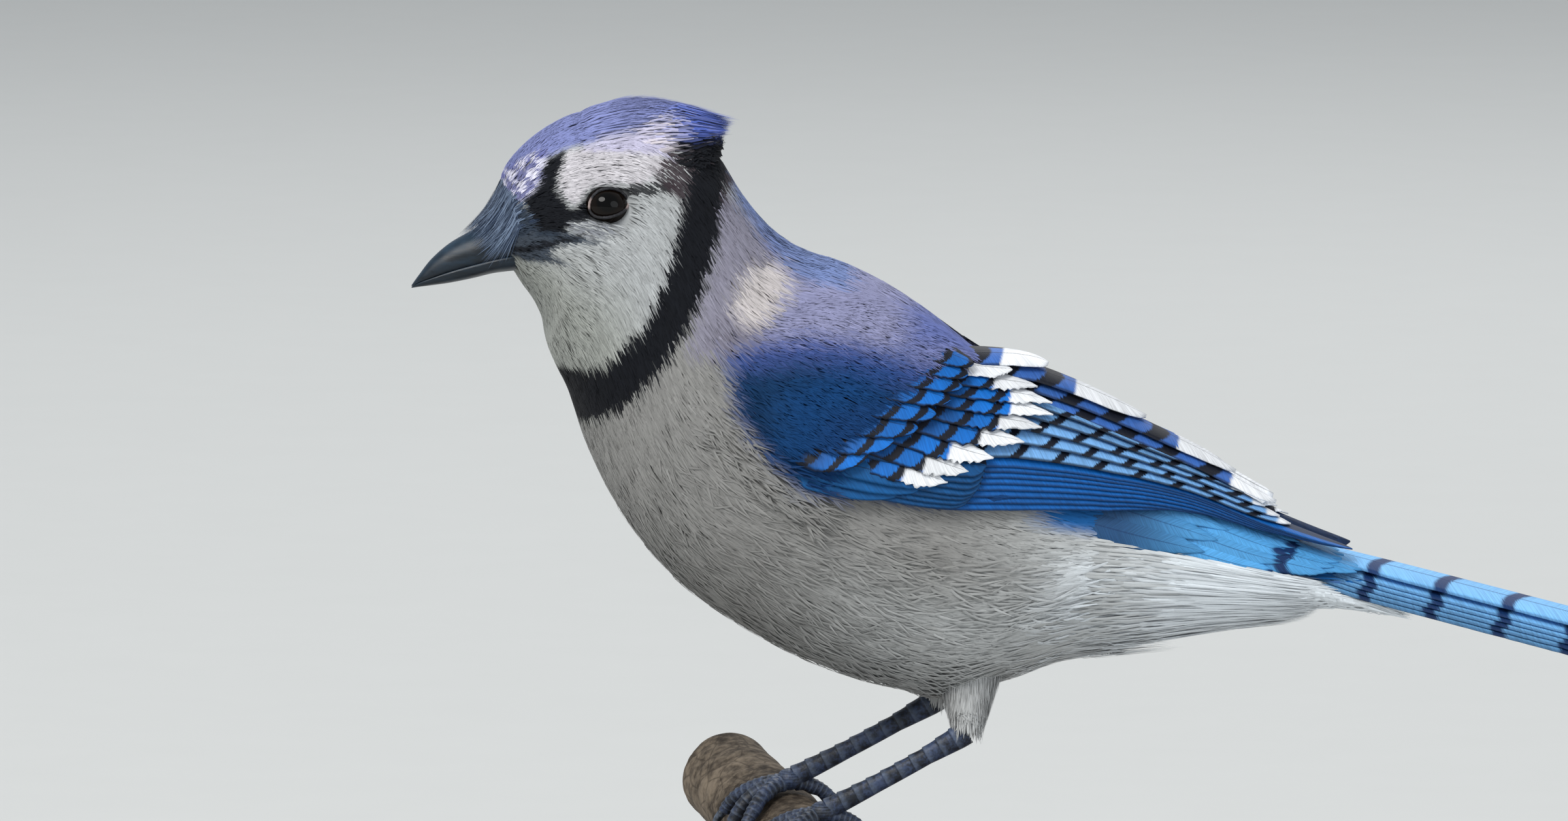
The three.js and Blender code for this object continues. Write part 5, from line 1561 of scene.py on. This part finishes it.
def bristle_blades(count=1500):
    rng = np.random.default_rng(61)
    degrees = rng.uniform(-92, 92, count)
    back = rng.uniform(0, 1, count) ** 0.8
    root_place = 0.15 + (1.2 + 1.1 * smooth(np.abs(degrees), 20, 70)) * back
    root = on_body(root_place, degrees * 0.9, swell(root_place, degrees) - 0.5)
    middle_place = root_place * 0.45
    middle = on_body(middle_place, degrees * 0.92, swell(middle_place, degrees) + 0.25 + 0.35 * back)
    reach_x = -84.5 + 0.05 * np.abs(degrees) + 5.5 * back + rng.normal(0, 0.8, count)
    tip = over_bill(
        reach_x, degrees + rng.normal(0, 5, count), 0.3 + rng.uniform(0, 0.4, count) + 0.5 * back,
    )
    centres = np.stack([root, middle, tip], 1)
    out = np.stack([0 * degrees, np.sin(np.radians(degrees)), np.cos(np.radians(degrees))], -1)
    pale = rng.random(count)[:, None] ** 1.5
    colour = toward(BRISTLE_BLUE, BRISTLE_PALE, pale)
    widths = rng.uniform(0.16, 0.3, count)
    return blades(
        "nasal_bristles", centres, out, widths, unwrap(root_place, degrees), colour,
        rng.normal(1, 0.12, count),
    )


set_on(bristle_blades(), "head_plumage", "head")


# Eyes. Polished balls of dark brown glass with a black pupil, sunk in their sockets. A pair of thin
# dark lids of creased skin closes round each.
IRIS_BROWN = (0.005, 0.003, 0.002)
PUPIL_BLACK = (0.001, 0.001, 0.001)
LID_DARK = (0.010, 0.010, 0.012)
LID_GREY = (0.032, 0.032, 0.038)
LID_PINK = (0.42, 0.33, 0.31)
LIDS = {"radius": 3.6, "thick": 0.26, "long": 1.07, "tall": 0.86, "slant": 0.2}


def eye_frame(side):
    """The eye's middle, and its ways forward, up and outward."""
    surface = on_body(EYE["place"], side * EYE["round"])
    along, _, out, _, _ = body_ways(np.array(EYE["place"]), np.array(side * EYE["round"]))
    fore = unit(-along - out * np.dot(-along, out))
    up = np.cross(out, fore) * side
    return surface, fore, up * np.sign(up[2]), out


def eyeball(word, side, rings=40, columns=64):
    surface, fore, up, out = eye_frame(side)
    centre = surface - out * EYE["sunk"]
    polar = np.linspace(0.02, math.pi - 0.02, rings)[:, None]
    turn = full_turn(columns)[None]
    shape = (np.cos(polar) + 0 * turn)[..., None] * out + (np.sin(polar) * np.cos(turn))[..., None] * fore
    shape = shape + (np.sin(polar) * np.sin(turn))[..., None] * up
    shape = shape - 0.12 * (shape @ up)[..., None] * up
    piece = mesh_piece(
        f"eye_{word}_ball", centre + EYE["radius"] * shape.reshape(-1, 3), *ring_faces(rings, columns),
    )
    number_points(piece, "from_axis", np.repeat(polar[:, 0], columns))
    return piece


def lid_pair(word, side, steps=96, sides=10):
    """The two lids as one thin creased rim round the ball, pale in its corners."""
    surface, fore, up, out = eye_frame(side)
    turn = full_turn(steps)
    seat = surface - out * EYE["sunk"]
    along = LIDS["radius"] * LIDS["long"] * np.cos(turn) - 0.35 * np.cos(turn) ** 2
    tall = LIDS["radius"] * LIDS["tall"] * np.sin(turn) - LIDS["slant"] * along
    flat = np.hypot(along, tall)
    stand = np.sqrt(np.maximum(EYE["radius"] ** 2 - flat**2, 0.2)) + 0.1
    middle = seat + along[:, None] * fore + tall[:, None] * up + stand[:, None] * out
    ahead = unit(np.roll(middle, -1, 0) - np.roll(middle, 1, 0))
    first = unit(np.cross(ahead, out))
    second = np.cross(first, ahead)
    creases = 1 + 0.08 * np.sin(turn * 23)
    thick = LIDS["thick"] * (1 + 0.25 * np.abs(np.sin(turn))) * creases
    b = full_turn(sides)[:, None]
    spokes = np.cos(b) * first[:, None] + np.sin(b) * second[:, None]
    points = middle[:, None] + thick[:, None, None] * spokes
    grid = np.arange(steps * sides).reshape(steps, sides)
    beside = np.roll(grid, -1, 1)
    faces = np.stack([grid, beside, np.roll(beside, -1, 0), np.roll(grid, -1, 0)], -1)
    piece = mesh_piece(f"eye_{word}_lids", points.reshape(-1, 3), faces.reshape(-1, 4))
    number_points(piece, "corner", np.repeat(np.abs(np.cos(turn)) ** 14, sides))
    return piece


eye_glass, tree, shader = new_material("eye", 0.05, 0.26, IOR=1.38)
shade, _ = specks(tree, 2600.0, 500.0, 1.0)
iris = blend(tree, fade(tree, read(tree, "from_axis"), 0.42, 0.62), PUPIL_BLACK, IRIS_BROWN)
colour_in(tree, shader, iris, shade)
lid_skin, tree, shader = new_material("lid skin", 0.6, 0.3)
_, height = specks(tree, 2400.0, 300.0, 1.0)
lid_colour = blend(tree, fade(tree, height, 0.42, 0.62), LID_DARK, LID_GREY)
lid_colour = blend(tree, fade(tree, read(tree, "corner"), 0.2, 0.8, 0.0, 0.7), lid_colour, LID_PINK)
tree.links.new(lid_colour, shader.inputs["Base Color"])
bump(tree, shader, height, 0.6, 0.0003)
for word, side in SIDES.items():
    set_on(eyeball(word, side), "eye_gloss", f"eye_{word}", material=eye_glass)
    set_on(lid_pair(word, side), "head_plumage", "head", material=lid_skin)


# Thighs. A core of skin from hip to ankle, flat where it lies against the belly, feathered down to
# the ankle in soft grey-white.
LEGS = {
    "left": {"along": -12.5, "ankle": (20.0, -12.0, 74.3), "hip": (21, -6, 96)},
    "right": {"along": 12.5, "ankle": (14.5, 12.0, 77.8), "hip": (17, 6, 98)},
}
THIGH = {"hip": 9.4, "ankle": 2.8, "flat": 0.5, "skin_depth": 0.6, "place": 16.2}
THIGH_GREY = (0.43, 0.44, 0.44)


def thigh_ways(word, u, turn):
    """A thigh's hip, its whole length as a vector, and its spokes, flat at the hip and round at the ankle."""
    hip, ankle = np.array(LEGS[word]["hip"], float), np.array(LEGS[word]["ankle"], float)
    axis = unit(ankle - hip)
    side_way = unit(np.cross(axis, (0, 1, 0)))
    fore_way = np.cross(axis, side_way)
    flat = THIGH["flat"] + (1 - THIGH["flat"]) * u[..., None]
    return hip, ankle - hip, np.cos(turn)[..., None] * side_way + flat * np.sin(turn)[..., None] * fore_way


def thigh_blades(word, count=1800, barb_length=7.0):
    rng = np.random.default_rng(71)
    u = rng.uniform(0.2, 0.85, count)
    turn = rng.uniform(0, 2 * math.pi, count)
    hip, whole, spoke = thigh_ways(word, u, turn)

    def at(share, lift):
        radius = THIGH["hip"] + (THIGH["ankle"] - THIGH["hip"]) * np.clip(share, 0, 1) + lift
        return hip + whole * share[:, None] + spoke * radius[:, None]

    step = barb_length * rng.uniform(0.7, 1.2, count) / np.linalg.norm(whole)
    last = rng.uniform(0.85, 1.12, count)
    centres = np.stack(
        [at(np.minimum(u + step * s, last), -0.9 + 1.5 * s + 0 * u) for s in BLADE_STEPS], 1,
    )
    colour = np.array(THIGH_GREY) * rng.normal(1, 0.05, (count, 1))
    uv = unwrap(THIGH["place"] + 0 * u, SIDES[word] * (150 + 20 * u))
    uv = uv + np.stack([0.02 * np.cos(turn), 0.02 * np.sin(turn)], -1)
    widths = rng.uniform(0.3, 0.5, count)
    return blades(f"thigh_{word}_coat", centres, spoke, widths, uv, colour, rng.normal(1, 0.08, count))


def thigh_core(word, rings=24, columns=32):
    u = np.linspace(0, 1, rings)[:, None]
    a = full_turn(columns)[None]
    hip, whole, spokes = thigh_ways(word, u, a)
    radius = THIGH["hip"] + (THIGH["ankle"] - THIGH["hip"]) * u - THIGH["skin_depth"]
    points = hip + whole * u[..., None] + radius[..., None] * spokes
    piece = mesh_piece(f"thigh_{word}_skin", points.reshape(-1, 3), *ring_faces(rings, columns))
    uv = unwrap(THIGH["place"] + u + 0 * a, SIDES[word] * (140 + 4 * a) + 0 * u).reshape(-1, 2)
    # Painted shade: the thigh's skin is darker than its coat, as under the barbs.
    colour = np.tile(np.array(THIGH_GREY) * 0.8, (rings * columns, 1))
    return plumed(piece, colour, SKIN_REACH, 1.0, uv)


for word in SIDES:
    set_on(thigh_core(word), "body_plumage", f"thigh_{word}")
    set_on(thigh_blades(word), "body_plumage", f"thigh_{word}")


# Shanks and feet. Bare, with broad horny plates down the front of the shank and over each toe, and
# fine grain between; three toes forward and one back, closed round the perch.
SHANK = {"ankle": 2.3, "middle": 1.7, "foot": 2.0, "plates": 10, "plate": 0.26, "bow": (0.6, 0, -0.4)}
SHANK_PARTS = ("ankle", "ankle", "middle", "middle", "foot")
TOE = {"radius": 1.7, "taper": 0.25, "plates": 11, "plate": 0.18, "pad": 0.3}
TOE_AXIS = 10 + 0.3 + TOE["radius"]
FOOT_PAD = {"radius": 2.4, "raised": 0.6, "wide": 1.1, "tall": 0.95}
CLAW = {"root": 1.15, "tip": 0.08}
TOES = {
    "inner": {"start": 6, "sweep": 62, "spread": -7.5, "claw": 5.5},
    "middle": {"start": 8, "sweep": 88, "spread": 0.6, "claw": 6.5},
    "outer": {"start": 6, "sweep": 66, "spread": 8.0, "claw": 5.5},
    "hind": {"start": -6, "sweep": -58, "spread": 0.0, "claw": 7.5},
}
LEG_DARK = (0.008, 0.011, 0.018)
LEG_BLUE = (0.034, 0.052, 0.105)
# The pale leg colour is a painted highlight on the raised plates of the legs and the pale specks of the
# claws.
LEG_PALE_AND_HIGHLIGHT = (0.130, 0.165, 0.230)


def ringed(line, front, radius):
    """Rings of points round a line, from the way where their turn is zero; with their counts."""
    rings, columns = radius.shape
    a = full_turn(columns)[:, None]
    second = np.cross(unit(np.gradient(line, axis=0)), front)
    spokes = np.cos(a) * front[:, None] + np.sin(a) * second[:, None]
    return (line[:, None] + radius[..., None] * spokes).reshape(-1, 3), rings, columns


def off_perch(line):
    """The way out from the perch's axis to each point of a line."""
    out = line - PERCH["middle"]
    return unit(out - np.outer(out @ perch_along, perch_along))


def plated(u, a, plates, depth):
    """Overlapping plates on the front of a tube: each stands proud at its lower edge."""
    ramp = (u * plates) % 1
    front = smooth(np.cos(a), -0.1, 0.6)
    return depth * (ramp ** 2)[:, None] * front[None]


def join_tubes(name, tubes, plates=1):
    """Several closed tubes in one mesh, from their points and counts of rings and columns."""
    points, walls, ends, start, steps = [], [], [], 0, []
    for tube, rings, columns in tubes:
        steps.append(np.repeat((np.linspace(0, 1, rings) * plates) % 1, columns))
        quads, first, last = ring_faces(rings, columns)
        points.append(tube)
        walls.append(quads + start)
        ends += [first + start, last + start]
        start += len(tube)
    piece = mesh_piece(name, np.concatenate(points), np.concatenate(walls), *ends)
    number_points(piece, "plate", np.concatenate(steps))
    return piece


def foot_centre(word):
    return round_perch(
        np.array(LEGS[word]["along"]), np.array(0.0), np.array(TOE_AXIS + FOOT_PAD["raised"]),
    )


def shank_tube(word, rings=140, columns=28):
    ankle = np.array(LEGS[word]["ankle"], float)
    centre = foot_centre(word)
    way = (centre - ankle) / np.linalg.norm(centre - ankle)
    end = centre - way * (FOOT_PAD["radius"] - 1.2)
    u = np.linspace(0, 1, rings)
    middle = (ankle + end) / 2 + np.array(SHANK["bow"])
    line = arc(u, ankle, middle, end)
    radius = np.interp(u, (0, 0.06, 0.3, 0.65, 1), [SHANK[part] for part in SHANK_PARTS])
    a = full_turn(columns)
    ahead = unit(np.gradient(line, axis=0))
    front = np.cross(way, (0, 1, 0))
    front = front * np.sign(front[2])
    front = unit(front - ahead * np.einsum("ij,ij->i", front + 0 * ahead, ahead)[:, None])
    shape = radius[:, None] * (1 + 0.06 * np.cos(2 * a))[None]
    shape = shape + plated(u, a, SHANK["plates"], SHANK["plate"])
    return ringed(line, front, shape)


def toe_tube(word, toe, rings=90, columns=20):
    u = np.linspace(0, 1, rings)
    along = LEGS[word]["along"] + toe["spread"] * smooth(u, -0.2, 1.1)
    line = round_perch(along, toe["start"] + toe["sweep"] * u, TOE_AXIS + 0 * u)
    a = full_turn(columns)
    base = TOE["radius"] * (1 - TOE["taper"] * u)
    pads = 1 + TOE["pad"] * 0.3 * np.cos(6 * math.pi * u)[:, None] * smooth(-np.cos(a), 0, 1)[None]
    shape = base[:, None] * pads + plated(u, a, TOE["plates"], TOE["plate"])
    shape *= np.interp(u, (0, 0.03, 0.97, 1), (0.8, 1, 1, 0.72))[:, None]
    return ringed(line, off_perch(line), shape)


def claw_tube(word, toe, rings=40, columns=16):
    u = np.linspace(0, 1, rings)
    way = np.sign(toe["sweep"])
    start = toe["start"] + toe["sweep"] - way * 1.5
    bend = math.degrees((toe["claw"] + 1.0) / TOE_AXIS)
    distance = TOE_AXIS + 0.1 + 1.5 * np.sin(0.8 * math.pi * u) - 0.5 * u
    line = round_perch(LEGS[word]["along"] + toe["spread"] + 0 * u, start + way * bend * u, distance)
    radius = CLAW["root"] + (CLAW["tip"] - CLAW["root"]) * u**1.3
    shape = radius[:, None] * (1 - 0.25 * np.abs(np.sin(full_turn(columns))))[None]
    return ringed(line, off_perch(line), shape)


def foot_pad(word, rings=24, columns=32):
    centre = foot_centre(word)
    polar = np.linspace(0.05, math.pi - 0.05, rings)[:, None]
    turn = full_turn(columns)[None]
    ball = (np.sin(polar) * np.cos(turn), np.sin(polar) * np.sin(turn), np.cos(polar) + 0 * turn)
    ball = np.stack(ball, -1) * (FOOT_PAD["wide"], FOOT_PAD["wide"], FOOT_PAD["tall"])
    return (centre + FOOT_PAD["radius"] * ball).reshape(-1, 3), rings, columns


leg_horn, tree, shader = new_material("leg scales", 0.5, 0.4)
shade, height = specks(tree, 1500.0, 220.0, 0.8)
grains = wire(tree, "TexVoronoi", own_place(tree), None, 1500.0, feature="DISTANCE_TO_EDGE").outputs[0]
colour = blend(tree, fade(tree, height, 0.4, 0.62), LEG_DARK, LEG_BLUE)
plate = read(tree, "plate")
# Painted highlight: each plate is paler on its raised part.
colour = blend(tree, fade(tree, plate, 0.5, 0.9, 0.0, 0.34), colour, LEG_PALE_AND_HIGHLIGHT)
colour = blend(tree, fade(tree, plate, 0.0, 0.12, 0.6, 0.0), colour, LEG_DARK)
colour_in(tree, shader, colour, shade)
bump(tree, shader, reckon(tree, "MULTIPLY_ADD", grains, 0.5, height), 0.4, 0.0003)
claw_horn, tree, shader = new_material("claw horn", 0.3, 0.5, Coat_Weight=0.2)
shade, height = specks(tree, 900.0, 200.0, 0.6)
colour_in(tree, shader, blend(tree, fade(tree, height, 0.4, 0.65), HORN_DARK, LEG_PALE_AND_HIGHLIGHT), shade)
bump(tree, shader, height, 0.2, 0.0002)
for word in SIDES:
    shank = join_tubes(f"shank_{word}_scaled", [shank_tube(word)], SHANK["plates"])
    set_on(shank, "leg_scales", f"shank_{word}", material=leg_horn)
    tubes = [foot_pad(word)] + [toe_tube(word, toe) for toe in TOES.values()]
    foot = join_tubes(f"foot_{word}_scaled", tubes, TOE["plates"])
    set_on(foot, "leg_scales", f"foot_{word}", material=leg_horn)
    for name, toe in TOES.items():
        claw = join_tubes(f"claw_{word}_{name}_horn", [claw_tube(word, toe)])
        set_on(claw, "claw_horn", f"claw_{word}_{name}", material=claw_horn)


# Floor, light and camera. A plain pale floor, a broad soft light from the upper left and a fill, and
# a long lens looking at the bird's left side from a little above.
FLOOR_SIZE = 14.0
FLOOR_PALE = (0.62, 0.63, 0.62)
floor_corners = np.array(((-1, -1, 0), (1, -1, 0), (1, 1, 0), (-1, 1, 0)))
floor_points = floor_corners * FLOOR_SIZE / 2 / MM
floor = mesh_piece("floor", floor_points, np.array([(0, 1, 2, 3)]))
floor_paint, tree, shader = new_material("pale floor", 0.8, 0.2)
shade, _ = specks(tree, 40.0, 2.0, 0.06)
colour_in(tree, shader, FLOOR_PALE, shade)
floor.data.materials.append(floor_paint)

AIM = np.array((-17.3, 0.0, 138.9)) * MM
FRAME_WIDTH = 0.320
CAMERA_FAR = 3.0
CAMERA_RISE = math.radians(7)


def area_light(name, place, size, power, colour):
    data = bpy.data.lights.new(name, "AREA")
    data.shape = "DISK"
    data.size = size
    data.energy = power
    data.color = colour
    lamp = bpy.data.objects.new(name, data)
    lamp.location = place
    way = AIM - np.array(place)
    lamp.rotation_euler = Vector(way).to_track_quat("-Z", "Y").to_euler()
    bpy.context.scene.collection.objects.link(lamp)


area_light("key", (-1.0, -1.5, 1.9), 1.4, 50.0, (1.0, 0.985, 0.96))
area_light("fill", (1.5, -1.7, 0.7), 1.8, 12.0, (0.93, 0.96, 1.0))
area_light("back", (0.3, 1.6, 1.6), 1.2, 14.0, (1.0, 1.0, 1.0))
world = bpy.data.worlds.new("studio")
world.use_nodes = True
world.node_tree.nodes["Background"].inputs["Color"].default_value = (0.80, 0.84, 0.88, 1)
world.node_tree.nodes["Background"].inputs["Strength"].default_value = 0.55
bpy.context.scene.world = world
bpy.context.scene.view_settings.view_transform = "Standard"

camera_data = bpy.data.cameras.new("camera")
camera_data.lens = camera_data.sensor_width * CAMERA_FAR / FRAME_WIDTH
camera = bpy.data.objects.new("camera", camera_data)
camera.location = AIM + CAMERA_FAR * np.array((0, -math.cos(CAMERA_RISE), math.sin(CAMERA_RISE)))
camera.rotation_euler = (math.pi / 2 - CAMERA_RISE, 0, 0)
bpy.context.scene.collection.objects.link(camera)
bpy.context.scene.camera = camera
